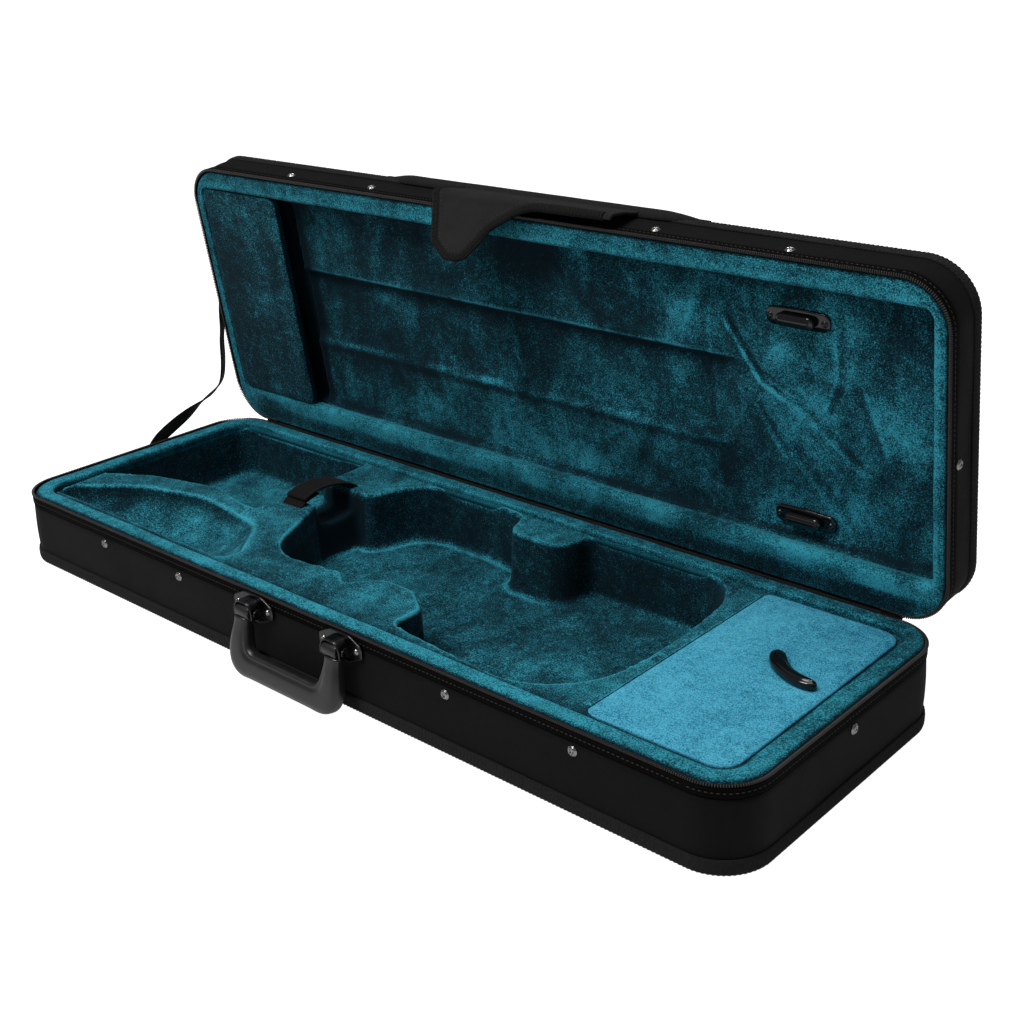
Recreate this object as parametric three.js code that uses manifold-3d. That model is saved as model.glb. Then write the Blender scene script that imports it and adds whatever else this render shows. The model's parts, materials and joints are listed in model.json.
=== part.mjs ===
// Oblong violin case, soft-covered, standing open on its base.
// Millimetres. +X runs along the case towards the accessory compartment, +Y from the handle
// side to the hinge side, +Z up. The origin is the middle of the base's underside.
import * as THREE from 'three';
import { mergeVertices } from 'three/addons/utils/BufferGeometryUtils.js';
import Module from 'manifold-3d';

// ---- driving dimensions ----
const LENGTH = 790;
const WIDTH = 264;
const BASE_HEIGHT = 65;
const LID_DEPTH = 42;
const CORNER = 38;
const OPEN_ANGLE = 82;
const GAP = 0.3;

const TRIM_THICKNESS = 1.2;
const SHELL_INSET = TRIM_THICKNESS + GAP;
const WALL = 7;
const BOARD = 5;
const TAPE_HEIGHT = 10;
const TAPE_INSET = 0.8;
const PAD_INSET = 3.3;
const BASE_RIM = { front: 21, back: 14, ends: 21 };
const LID_RIM = { front: 22, back: 33, ends: 14 };
const INSERT_TOP = 60;
const CAVITY_FLOOR = 7;
const SCROLL_FLOOR = 14;
const NECK_SADDLE = 38;
const LINING_DEPTH = 20;
const CHANNEL_DEPTH = 26;
const BOW_SLOT = { left: -275, right: -258 };
const COMPARTMENT = { left: 255, right: 369, front: -104, back: 117 };
const RIVET_X = [-256, -150, 154, 268];
const HANDLE = { halfSpan: 50, pivotY: -140, pivotZ: 52, drop: 50, lean: 12 };
const FLAP = { left: -60, right: 125, hingeY: -142, hingeRise: 2, tongue: 55, lean: 35 };
const BOW_HOLDER = {
  x: 270, y: [-79, 82.5], length: 52, width: 15, thickness: 3.2, screwSpan: 22,
  toggleLength: 31, toggleWidth: 10, toggleThickness: 6, stemRadius: 2.5,
};
const BRACKET = { plate: 2, cheekFrom: 8.4, cheekTo: 10.6, hoodRise: 7.4, hoodThickness: 2, boltRadius: 2.5 };
const GRIP = { outer: 12, inner: 9, depth: 13, barrelRadius: 6.3, barrelHalf: 7.6 };
const ZIP = { end: 338, height: 56, halfWidth: 7, halfHeight: 4, depth: 4.2 };
const HINGE_CLOTH = { halfSpan: 328, reach: 16, thickness: 1 };
const STAY_STRAP = {
  width: 14, thickness: 1.5,
  route: [[14, 50], [24, 60], [44, 72], [74, 82], [100, 92], [114, 112], [119, 140], [121, 168], [124, 186]],
};
const CLEARANCE = 0.4;

const OUTLINE_STEPS = 3;
const radians = THREE.MathUtils.degToRad;
const wasm = await Module();
wasm.setup();

// ---- materials ----
const finish = (color, roughness, metalness = 0) =>
  new THREE.MeshStandardMaterial({ color, roughness, metalness });
const nylon = finish(0x15161a, 0.8);
const webbing = finish(0x0d0d0f, 0.9);
const velvet = finish(0x0f4a5a, 0.95);
const blueVelvet = finish(0x2a86a8, 0.95);
const blackPlastic = finish(0x0a0a0b, 0.35);
const gunmetal = finish(0x55565a, 0.3, 1);
const nickel = finish(0xb8b9bc, 0.25, 1);

// ---- solids ----
function toSolid(geometry) {
  const bare = geometry.clone();
  bare.deleteAttribute('normal');
  bare.deleteAttribute('uv');
  const merged = mergeVertices(bare, 1e-4);
  return new wasm.Manifold(new wasm.Mesh({
    numProp: 3,
    vertProperties: new Float32Array(merged.attributes.position.array),
    triVerts: new Uint32Array(merged.index.array),
  }));
}

function toGeometry(solid) {
  const mesh = solid.getMesh();
  const geometry = new THREE.BufferGeometry();
  geometry.setAttribute('position', new THREE.BufferAttribute(mesh.vertProperties, 3));
  geometry.setIndex(new THREE.BufferAttribute(mesh.triVerts, 1));
  geometry.computeVertexNormals();
  return geometry;
}

const cut = (body, ...tools) =>
  toGeometry(tools.reduce((solid, tool) => solid.subtract(toSolid(tool)), toSolid(body)));
const join = (body, ...others) =>
  toGeometry(others.reduce((solid, other) => solid.add(toSolid(other)), toSolid(body)));

// A closed outline through corners [x, y, radius], each corner rounded with an arc.
function roundedOutline(corners) {
  const shape = new THREE.Shape();
  corners.forEach(([x, y, radius], i) => {
    const corner = new THREE.Vector2(x, y);
    const [ax, ay] = corners.at(i - 1);
    const [bx, by] = corners[(i + 1) % corners.length];
    const back = new THREE.Vector2(ax, ay).sub(corner).normalize();
    const ahead = new THREE.Vector2(bx, by).sub(corner).normalize();
    const half = Math.acos(back.dot(ahead)) / 2;
    const centre = back.clone().add(ahead).normalize()
      .multiplyScalar(radius / Math.sin(half)).add(corner);
    const start = back.clone().multiplyScalar(radius / Math.tan(half)).add(corner).sub(centre);
    const end = ahead.clone().multiplyScalar(radius / Math.tan(half)).add(corner).sub(centre);
    const clockwise = back.cross(ahead) > 0;
    shape.absarc(centre.x, centre.y, radius, start.angle(), end.angle(), clockwise);
  });
  return shape;
}

function rectangle(left, right, front, back, radius) {
  return roundedOutline([
    [left, front, radius], [right, front, radius], [right, back, radius], [left, back, radius],
  ]);
}

// The case's outline drawn in by one distance, or by one for each side.
function caseOutline(inset) {
  const { front, back, ends } = typeof inset === 'number'
    ? { front: inset, back: inset, ends: inset } : inset;
  const radius = Math.max(CORNER - Math.max(front, back, ends), 8);
  return rectangle(-LENGTH / 2 + ends, LENGTH / 2 - ends, -WIDTH / 2 + front, WIDTH / 2 - back, radius);
}

// An outline raised from one height to another.
function prism(shape, low, high) {
  const geometry = new THREE.ExtrudeGeometry(shape, {
    depth: high - low, bevelEnabled: false, curveSegments: OUTLINE_STEPS,
  });
  geometry.translate(0, 0, low);
  return geometry;
}

const ring = (outer, inner, low, high) =>
  cut(prism(outer, low, high), prism(inner, low - 1, high + 1));

function box(left, right, front, back, low, high) {
  const geometry = new THREE.BoxGeometry(right - left, back - front, high - low);
  geometry.translate((left + right) / 2, (front + back) / 2, (low + high) / 2);
  return geometry;
}

// A profile drawn in Y and Z, carried along X from one end to the other.
function alongX(profile, left, right) {
  const geometry = new THREE.ExtrudeGeometry(profile, {
    depth: right - left, bevelEnabled: false, curveSegments: OUTLINE_STEPS,
  });
  geometry.rotateY(Math.PI / 2);
  geometry.rotateX(Math.PI / 2);
  geometry.translate(left, 0, 0);
  return geometry;
}

// The profile of a strip of one thickness along a smooth curve through the points.
function strip(points, thickness, steps = 12) {
  const curve = new THREE.SplineCurve(points.map(([y, z]) => new THREE.Vector2(y, z)));
  const sides = [1, -1].map((side) => Array.from({ length: steps + 1 }, (_, i) => {
    const at = curve.getPoint(i / steps);
    const along = curve.getTangent(i / steps);
    return new THREE.Vector2(-along.y, along.x).multiplyScalar(side * thickness / 2).add(at);
  }));
  return new THREE.Shape([...sides[0], ...sides[1].reverse()]);
}

function cylinderX(radius, left, right, steps = 16) {
  const geometry = new THREE.CylinderGeometry(radius, radius, right - left, steps);
  geometry.rotateZ(Math.PI / 2);
  geometry.translate((left + right) / 2, 0, 0);
  return geometry;
}

// A low domed head on +Z, its flat side at 0.
function domedHead(radius, height) {
  const profile = [[0, 0], [radius, 0], [radius, height * 0.35], [radius * 0.7, height * 0.8], [0, height]];
  return new THREE.LatheGeometry(profile.map(([r, z]) => new THREE.Vector2(r, z)), 8)
    .rotateX(Math.PI / 2);
}

function part(group, name, geometry, material) {
  const mesh = new THREE.Mesh(geometry, material);
  mesh.name = name;
  group.add(mesh);
  return mesh;
}

// ---- bodies: each moving one is a group at its hinge ----
const violinCase = new THREE.Group();
const hinge = new THREE.Group();
hinge.position.set(0, WIDTH / 2, BASE_HEIGHT);
hinge.rotation.x = radians(-OPEN_ANGLE);
violinCase.add(hinge);
// Lid parts are drawn where they lie when the case is shut, with its rim at height 0.
const lid = new THREE.Group();
lid.position.set(0, -WIDTH / 2, 0);
hinge.add(lid);

// ---- base: shell, trim, tape, padded rim ----
function addBase() {
  const shellTop = BASE_HEIGHT - TAPE_HEIGHT - GAP;
  part(violinCase, 'base_shell', cut(
    prism(caseOutline(SHELL_INSET), 0, shellTop),
    prism(caseOutline(SHELL_INSET + WALL), BOARD, shellTop + 1),
  ), nylon);
  part(violinCase, 'base_bottom_trim',
    ring(caseOutline(0), caseOutline(TRIM_THICKNESS), 0.6, 12), webbing);
  part(violinCase, 'base_zip_tape', ring(
    caseOutline(TAPE_INSET), caseOutline(PAD_INSET - GAP), shellTop + GAP, BASE_HEIGHT - 0.5), webbing);
  part(violinCase, 'base_rim_pad', ring(
    caseOutline(PAD_INSET), caseOutline(BASE_RIM), shellTop + GAP, BASE_HEIGHT - 0.3), velvet);
}

// ---- the foam insert and what is cut into it ----
const bodyCavity = roundedOutline([
  [-150, 18, 6], [-110, -66, 45], [-30, -59, 8], [-15, -71, 7], [8, -45, 12], [38, -45, 14],
  [66, -64, 10], [66, -94, 7], [228, -108, 70], [247, -8, 60], [232, 118, 50], [82, 118, 9],
  [78, 82, 18], [20, 82, 18], [9, 112, 6], [-32, 118, 20], [-110, 118, 45], [-130, 62, 8],
  [-150, 64, 4],
]);
const scrollRecess = roundedOutline([
  [-374, -52, 3], [-334, -24, 60], [-258, -5, 50], [-212, -16, 12], [-191, -16, 5],
  [-191, 118, 6], [-374, 118, 18],
]);
const frontPocket = roundedOutline([
  [-374, -102, 3], [-371, -84, 6], [-318, -47, 50], [-250, -28, 60], [-160, -40, 40],
  [-114, -102, 14],
]);

function addInsert() {
  const shellTop = BASE_HEIGHT - TAPE_HEIGHT - GAP;
  const inset = SHELL_INSET + WALL + GAP;
  const stepped = join(
    prism(caseOutline(inset), BOARD + GAP, shellTop),
    prism(caseOutline({
      front: BASE_RIM.front + GAP, back: BASE_RIM.back + GAP, ends: BASE_RIM.ends + GAP,
    }), BOARD + 10, INSERT_TOP),
  );
  const above = INSERT_TOP + 5;
  const { left, right, front, back } = COMPARTMENT;
  part(violinCase, 'foam_insert', cut(
    stepped,
    prism(bodyCavity, CAVITY_FLOOR, above),
    prism(scrollRecess, SCROLL_FLOOR + 12, above),
    prism(rectangle(-352, -206, 6, 104, 12), SCROLL_FLOOR, above),
    prism(rectangle(-200, -140, 20, 63, 3), NECK_SADDLE, above),
    prism(frontPocket, 42, above),
    prism(rectangle(-316, -164, -92, -52, 10), 26, above),
    prism(rectangle(left + 5, right - 5, front + 5, back - 5, 12), CAVITY_FLOOR + 2, above),
    prism(rectangle(left - 2, right + GAP, front - GAP, back + GAP, 17), INSERT_TOP - 4, above),
  ), velvet);
}

// ---- neck strap: a short tab and a long flap that presses onto it ----
function addNeckStrap() {
  const [left, right] = [-181, -156];
  part(violinCase, 'neck_strap_tab', alongX(
    strip([[-4, 61.2], [5, 62.6], [16, 66.2], [28, 68.2]], 1.4), left, right), webbing);
  part(violinCase, 'neck_strap_flap', alongX(
    strip([[76, 61.4], [66, 63.6], [54, 68], [36, 71.2], [20, 69.4], [10, 66.4]], 1.6),
    left, right), webbing);
}

// ---- accessory compartment: board, cloth hinge, bean-shaped knob ----
function addCompartment() {
  const { left, right, front, back } = COMPARTMENT;
  part(violinCase, 'compartment_lid',
    prism(rectangle(left, right, front, back, 16), INSERT_TOP - 3.6, INSERT_TOP + 0.4), blueVelvet);
  part(violinCase, 'compartment_hinge_cloth',
    box(left - 9, left + 9, front + 8, back - 8, INSERT_TOP + 0.7, INSERT_TOP + 1.5), velvet);

  const [arcX, arcY, arcRadius, halfWidth] = [351, 50, 42, 7];
  const [from, to] = [radians(208), radians(274)];
  const bean = new THREE.Shape();
  bean.absarc(arcX, arcY, arcRadius + halfWidth, from, to, false);
  bean.absarc(arcX + arcRadius * Math.cos(to), arcY + arcRadius * Math.sin(to),
    halfWidth, to, to + Math.PI, false);
  bean.absarc(arcX, arcY, arcRadius - halfWidth, to, from, true);
  bean.absarc(arcX + arcRadius * Math.cos(from), arcY + arcRadius * Math.sin(from),
    halfWidth, from + Math.PI, from + 2 * Math.PI, false);
  part(violinCase, 'compartment_knob', prism(bean, INSERT_TOP + 0.7, INSERT_TOP + 9.5), blackPlastic);
}

// ---- wall rivets ----
// Heads on a wall that faces a direction given by a turn about Z from the handle side.
function addRivet(group, name, x, y, z, turn, [radius, height] = [4, 1.6]) {
  const rivet = part(group, name, domedHead(radius, height).rotateX(Math.PI / 2), nickel);
  rivet.position.set(x, y, z);
  rivet.rotation.z = radians(turn);
}

function addWallRivets(group, prefix, z) {
  const wall = SHELL_INSET - GAP;
  RIVET_X.forEach((x, i) =>
    addRivet(group, `${prefix}_front_rivet_${i + 1}`, x, -WIDTH / 2 + wall, z, 0));
  addRivet(group, `${prefix}_right_rivet`, LENGTH / 2 - wall, 4, z, 90);
  addRivet(group, `${prefix}_left_rivet`, -LENGTH / 2 + wall, 4, z, -90);
}

// ---- carrying handle: a moulded bail in two riveted brackets ----
function addBracket(name, x) {
  const wallY = -WIDTH / 2 + TAPE_INSET - GAP;
    const { pivotY, pivotZ } = HANDLE;
  const { plate: plateDepth, cheekFrom, cheekTo, hoodRise, hoodThickness, boltRadius } = BRACKET;
  const plateY = wallY - plateDepth;
  const plateOutline = roundedOutline([
    [-23, -3, 3], [-8, -10, 4], [8, -10, 4], [23, -3, 3], [23, 5, 4], [10, 11, 8], [-10, 11, 8],
    [-23, 5, 4],
  ]);
  const plate = prism(plateOutline, 0, plateDepth).rotateX(Math.PI / 2);
  plate.translate(x, wallY, pivotZ);
  const cheek = (side) => {
    const [near, far] = side < 0 ? [-cheekTo, -cheekFrom] : [cheekFrom, cheekTo];
    const outline = roundedOutline([
      [plateY + 1, pivotZ - 7, 1], [plateY + 1, pivotZ + 10, 1],
      [pivotY - 5.5, pivotZ + 8, 5], [pivotY - 5.5, pivotZ - 6, 5],
    ]);
    return alongX(outline, x + near, x + far);
  };
  const hood = box(x - cheekTo, x + cheekTo, pivotY - 1, plateY + 1,
    pivotZ + hoodRise, pivotZ + hoodRise + hoodThickness);
  const hole = cylinderX(boltRadius + CLEARANCE, x - cheekTo - 1, x + cheekTo + 1)
    .translate(0, pivotY, pivotZ);
  part(violinCase, name, cut(join(plate, cheek(-1), cheek(1), hood), hole), gunmetal);
  [[-17.5, 1], [0, -7.4], [17.5, 1]].forEach(([dx, dz], i) =>
    addRivet(violinCase, `${name}_rivet_${i + 1}`, x + dx, plateY - GAP, pivotZ + dz, 0, [2.4, 1.5]));
}

function addHandle() {
  const { halfSpan, pivotY, pivotZ, drop, lean } = HANDLE;
  const pivot = new THREE.Group();
  pivot.position.set(0, pivotY, pivotZ);
  pivot.rotation.x = radians(-lean);
  violinCase.add(pivot);
  const { depth, barrelRadius, barrelHalf } = GRIP;
  const [outer, inner] = [halfSpan + GRIP.outer, halfSpan - GRIP.inner];
  const bail = roundedOutline([
    [-outer, -8, 6], [-outer, -drop, 34], [outer, -drop, 34], [outer, -8, 6],
    [inner, -8, 4], [inner, -drop + 19, 17], [-inner, -drop + 19, 17], [-inner, -8, 4],
  ]);
  const grip = prism(bail, -depth / 2, depth / 2).rotateX(Math.PI / 2);
  const ends = [-halfSpan, halfSpan].flatMap((x) => [
    cylinderX(barrelRadius, x - barrelHalf, x + barrelHalf),
    box(x - barrelHalf, x + barrelHalf, -5, 5, -14, 0),
    cylinderX(BRACKET.boltRadius, x - 11, x + 11),
  ]);
  part(pivot, 'handle_grip', join(grip, ...ends), blackPlastic);
  addBracket('handle_bracket_left', -halfSpan);
  addBracket('handle_bracket_right', halfSpan);
}

// ---- zip sliders, parked where the teeth end on the hinge side ----
function addZipSlider(side, sign) {
  const { end, height: z, halfWidth, halfHeight, depth } = ZIP;
  const [x, y] = [sign * end, WIDTH / 2 - 0.5];
  const body = box(x - halfWidth, x + halfWidth, y, y + depth, z - halfHeight, z + halfHeight);
  const loop = cut(
    box(x - 2, x + 2, y + 4, y + 8.5, z - 3.6, z + 2.8),
    box(x - 3, x + 3, y + 4.5, y + 6.9, z - 1.2, z + 1.2),
  );
  part(violinCase, `zip_slider_${side}`, join(body, loop), gunmetal);
  const tab = roundedOutline([
    [x - 4, z - 26, 3.5], [x + 4, z - 26, 3.5], [x + 4, z + 0.7, 0.6], [x - 4, z + 0.7, 0.6],
  ]);
  tab.holes.push(rectangle(x - 2.5, x + 2.5, z - 5, z - 0.7, 0.8));
  const pull = prism(tab, -0.6, 0.6).rotateX(Math.PI / 2);
  pull.translate(0, y + 5.7, 0);
  part(violinCase, `zip_pull_${side}`, pull, gunmetal);
}

// ---- lid: shell, trim, tape, padded rim, lining, bow pocket ----
function addLid() {
  const shellLow = TAPE_HEIGHT + GAP;
  const liningTop = LID_DEPTH - BOARD - GAP;
  part(lid, 'lid_shell', cut(
    prism(caseOutline(SHELL_INSET), shellLow, LID_DEPTH),
    prism(caseOutline(SHELL_INSET + WALL), shellLow - 1, LID_DEPTH - BOARD),
  ), nylon);
  part(lid, 'lid_edge_trim',
    ring(caseOutline(0), caseOutline(TRIM_THICKNESS), LID_DEPTH - 10, LID_DEPTH - 0.6), webbing);
  part(lid, 'lid_zip_tape',
    ring(caseOutline(TAPE_INSET), caseOutline(PAD_INSET - GAP), 0.5, TAPE_HEIGHT), webbing);
  part(lid, 'lid_rim_pad',
    ring(caseOutline(PAD_INSET), caseOutline(LID_RIM), 0.3, TAPE_HEIGHT), velvet);

  const inner = caseOutline(SHELL_INSET + WALL + GAP);
  const recess = rectangle(BOW_SLOT.right, LENGTH / 2 - LID_RIM.ends,
    -WIDTH / 2 + LID_RIM.front, WIDTH / 2 - LID_RIM.back, 12);
  const pocket = rectangle(-LENGTH / 2 + LID_RIM.ends, BOW_SLOT.right + 1,
    -WIDTH / 2 + LID_RIM.front, WIDTH / 2 - LID_RIM.back, 3);
  const channel = rectangle(BOW_SLOT.right - 2, 216, -42, 28, 4);
  part(lid, 'lid_lining', cut(
    prism(inner, TAPE_HEIGHT + GAP, liningTop),
    prism(recess, 0, LINING_DEPTH),
    prism(pocket, 0, LINING_DEPTH + 6),
    prism(channel, 0, CHANNEL_DEPTH),
  ), velvet);
  part(lid, 'bow_tip_panel', prism(rectangle(
    -LENGTH / 2 + LID_RIM.ends + GAP, BOW_SLOT.left,
    -WIDTH / 2 + LID_RIM.front + GAP, WIDTH / 2 - LID_RIM.back - GAP, 10,
  ), 0.3, 8), velvet);
}

// ---- bow holders: a plate with two screws and a turning toggle ----
function addBowHolder(number, y) {
  const { x, length, width, thickness, screwSpan, stemRadius } = BOW_HOLDER;
  const { toggleLength, toggleWidth, toggleThickness } = BOW_HOLDER;
  const plateLow = LINING_DEPTH - GAP - thickness;
  const stem = new THREE.CylinderGeometry(stemRadius, stemRadius, 6, 12).rotateX(Math.PI / 2);
  stem.translate(x, y, plateLow - 1.5);
  const holeRadius = stemRadius + CLEARANCE;
  const stemHole = new THREE.CylinderGeometry(holeRadius, holeRadius, 12, 12).rotateX(Math.PI / 2);
  stemHole.translate(x, y, plateLow);
  part(lid, `bow_holder_plate_${number}`, cut(prism(
    rectangle(x - length / 2, x + length / 2, y - width / 2, y + width / 2, 5),
    plateLow, LINING_DEPTH - GAP,
  ), stemHole), blackPlastic);
  const bar = prism(rectangle(x - toggleLength / 2, x + toggleLength / 2,
    y - toggleWidth / 2, y + toggleWidth / 2, 4.8), plateLow - 1 - toggleThickness, plateLow - 1);
  part(lid, `bow_toggle_${number}`, join(bar, stem), blackPlastic);
  [-1, 1].forEach((side, i) => {
    const screw = part(lid, `bow_holder_${number}_screw_${i + 1}`,
      domedHead(3, 1.6).rotateX(Math.PI), nickel);
    screw.position.set(x + side * screwSpan, y, plateLow - GAP);
  });
}

// ---- front flap: sewn to the lid's outer edge, its tongue hangs over the zip ----
function addFrontFlap() {
  const { left, right, hingeY, hingeRise, tongue, lean } = FLAP;
  const wallY = -WIDTH / 2 - GAP;
  part(lid, 'front_flap_root', alongX(
    strip([[wallY - 1.6, LID_DEPTH], [wallY - 2.4, LID_DEPTH - 12], [hingeY + 2, hingeRise + 12],
      [hingeY, hingeRise + 2]], 2.6), left, right), nylon);

  const flapHinge = new THREE.Group();
  const closed = new THREE.Vector3(0, hingeY - WIDTH / 2, hingeRise);
  flapHinge.position.copy(closed.applyEuler(hinge.rotation).add(hinge.position));
  flapHinge.rotation.x = radians(-lean);
  violinCase.add(flapHinge);
  const outline = roundedOutline([
    [left, -0.5, 1], [left + 14, -tongue + 14, 16], [left + 27, -tongue, 12], [left + 50, -tongue, 14],
    [left + 66, -tongue + 28, 24], [left + 96, -6, 40], [right, -5, 2], [right, -0.5, 2],
  ]);
  part(flapHinge, 'front_flap_tongue', prism(outline, -1.3, 1.3).rotateX(Math.PI / 2), nylon);
}

// ---- cloth hinge along the back, and the stay strap on the left end ----
function addHingeCloth() {
  const angle = radians(OPEN_ANGLE);
  const { halfSpan, reach, thickness } = HINGE_CLOTH;
  const [from, to] = [GAP, GAP + thickness];
  // A point on the lid's back wall, so far below it and so far up from the rim.
  const onLid = (below, up) => new THREE.Vector2(
    WIDTH / 2 + below * Math.cos(angle) + up * Math.sin(angle),
    BASE_HEIGHT - below * Math.sin(angle) + up * Math.cos(angle),
  );
  const profile = new THREE.Shape([
    new THREE.Vector2(WIDTH / 2 + from, BASE_HEIGHT - reach),
    new THREE.Vector2(WIDTH / 2 + to, BASE_HEIGHT - reach),
    new THREE.Vector2(WIDTH / 2 + to, BASE_HEIGHT - 1.6),
    onLid(to, reach),
    onLid(from, reach),
    onLid(from, 0.3),
  ]);
  part(violinCase, 'hinge_cloth', alongX(profile, -halfSpan, halfSpan), nylon);
}

function addStayStrap() {
  const { route, width, thickness } = STAY_STRAP;
  const outside = -LENGTH / 2 - GAP;
  part(violinCase, 'stay_strap', alongX(strip(route, width, 20), outside - thickness, outside), webbing);
}

addBase();
addInsert();
addNeckStrap();
addCompartment();
addWallRivets(violinCase, 'base', 48);
addHandle();
addZipSlider('left', -1);
addZipSlider('right', 1);
addLid();
BOW_HOLDER.y.forEach((y, i) => addBowHolder(i + 1, y));
addWallRivets(lid, 'lid', 14);
addFrontFlap();
addHingeCloth();
addStayStrap();

export default violinCase;
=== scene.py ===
import json
import math

import bmesh
import bpy
import numpy as np
from mathutils import Matrix, Vector


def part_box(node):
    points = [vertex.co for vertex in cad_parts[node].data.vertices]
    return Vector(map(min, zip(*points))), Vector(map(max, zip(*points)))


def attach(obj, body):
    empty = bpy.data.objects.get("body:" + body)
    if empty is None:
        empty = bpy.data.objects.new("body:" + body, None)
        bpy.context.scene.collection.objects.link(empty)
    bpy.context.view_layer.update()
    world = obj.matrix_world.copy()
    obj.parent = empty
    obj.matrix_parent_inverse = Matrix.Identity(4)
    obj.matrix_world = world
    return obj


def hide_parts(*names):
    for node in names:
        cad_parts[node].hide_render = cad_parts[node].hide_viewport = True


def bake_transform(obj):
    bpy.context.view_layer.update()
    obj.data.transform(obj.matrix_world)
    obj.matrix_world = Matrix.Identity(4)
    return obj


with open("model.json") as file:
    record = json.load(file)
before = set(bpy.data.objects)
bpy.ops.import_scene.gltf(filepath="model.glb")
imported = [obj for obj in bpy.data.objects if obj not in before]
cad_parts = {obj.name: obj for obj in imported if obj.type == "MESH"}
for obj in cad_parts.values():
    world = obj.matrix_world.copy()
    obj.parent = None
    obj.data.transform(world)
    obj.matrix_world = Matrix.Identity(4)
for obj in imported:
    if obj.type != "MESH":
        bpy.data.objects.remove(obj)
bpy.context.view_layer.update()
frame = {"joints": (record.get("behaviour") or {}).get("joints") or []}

# The violin case, open on its base. Lengths are in millimetres and turned into metres where a
# mesh is made. Lid pieces are drawn as (x, y, d), with the case shut and d measured up from the
# lid's rim, and LID puts them where the open lid is.

MM = 0.001

# ---- sizes from the frame ----
trim_low, trim_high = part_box("base_bottom_trim")
LENGTH = (trim_high.x - trim_low.x) / MM
WIDTH = (trim_high.y - trim_low.y) / MM
HALF_LENGTH, HALF_WIDTH = LENGTH / 2, WIDTH / 2
JOINTS = {joint["name"]: joint for joint in frame["joints"]}
HINGE = Vector(JOINTS["lid_hinge"]["pos_m"]) / MM
OPEN_ANGLE = math.radians(JOINTS["lid_hinge"]["range_deg"][1])
BASE_HEIGHT = HINGE.z
LID = (Matrix.Translation(HINGE) @ Matrix.Rotation(-OPEN_ANGLE, 4, "X")
       @ Matrix.Translation((0, -HINGE.y, 0)))
STILL = Matrix.Identity(4)

# ---- sizes of the build ----
LID_DEPTH = 42
CORNER = 38
COVER_INSET = 1.5
WALL = 7
BOARD = 5
VELVET_INSET = 9.2
TAPE_HEIGHT = 10
TAPE_INSET = 0.8
SEAM_INSET = 0.95
SEAM_DROP = 6.0
BASE_RIM = {"front": 21, "back": 14, "ends": 21}
LID_RIM = {"front": 22, "back": 33, "ends": 14}
INSERT_TOP = 60
CAVITY_FLOOR = 6.6
SCROLL_FLOOR = 10
NECK_SADDLE = 38
LINING_DEPTH = 20
CHANNEL_DEPTH = 25
BOW_SLOT = (-275, -258)
NECK = {"x": -168.5, "y": 41}
COMPARTMENT = {"left": 255, "right": 369, "front": -104, "back": 117}
HANDLE = {"half_span": 50, "pivot_y": -140, "pivot_z": 52, "drop": 50, "lean": 12}
RIVET_X = (-256, -150, 154, 268)
RIVET_HEIGHT = {"base": 48, "lid": 14}
FLAP = {"left": -60, "right": 125, "hinge_y": -142, "hinge_rise": 2, "lean": 35}
BOW_HOLDER_X = 270
BOW_HOLDER_Y = (-79, 82.5)
ZIP_END = 338
HINGE_SPAN = 358


# ---- camera ----
CAMERA = {"place": (791.9, -746.5, 560.1), "target": (-53.8, 189.0, 66.3), "roll": -1.82,
          "lens": 51.65, "sensor": 36, "shift": (-0.0131, -0.0435)}


def add_camera():
    place = Vector(CAMERA["place"]) * MM
    target = Vector(CAMERA["target"]) * MM
    roll = math.radians(CAMERA["roll"])
    ahead = (target - place).normalized()
    right = ahead.cross(Vector((0, 0, 1))).normalized()
    up = right.cross(ahead)
    cos, sin = math.cos(roll), math.sin(roll)
    right, up = right * cos + up * sin, up * cos - right * sin
    data = bpy.data.cameras.new("camera")
    data.sensor_width = CAMERA["sensor"]
    data.lens = CAMERA["lens"]
    data.shift_x, data.shift_y = CAMERA["shift"]
    camera = bpy.data.objects.new("camera", data)
    camera.matrix_world = Matrix.Translation(place) @ Matrix((right, up, -ahead)).transposed().to_4x4()
    bpy.context.scene.collection.objects.link(camera)
    bpy.context.scene.camera = camera


add_camera()


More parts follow.
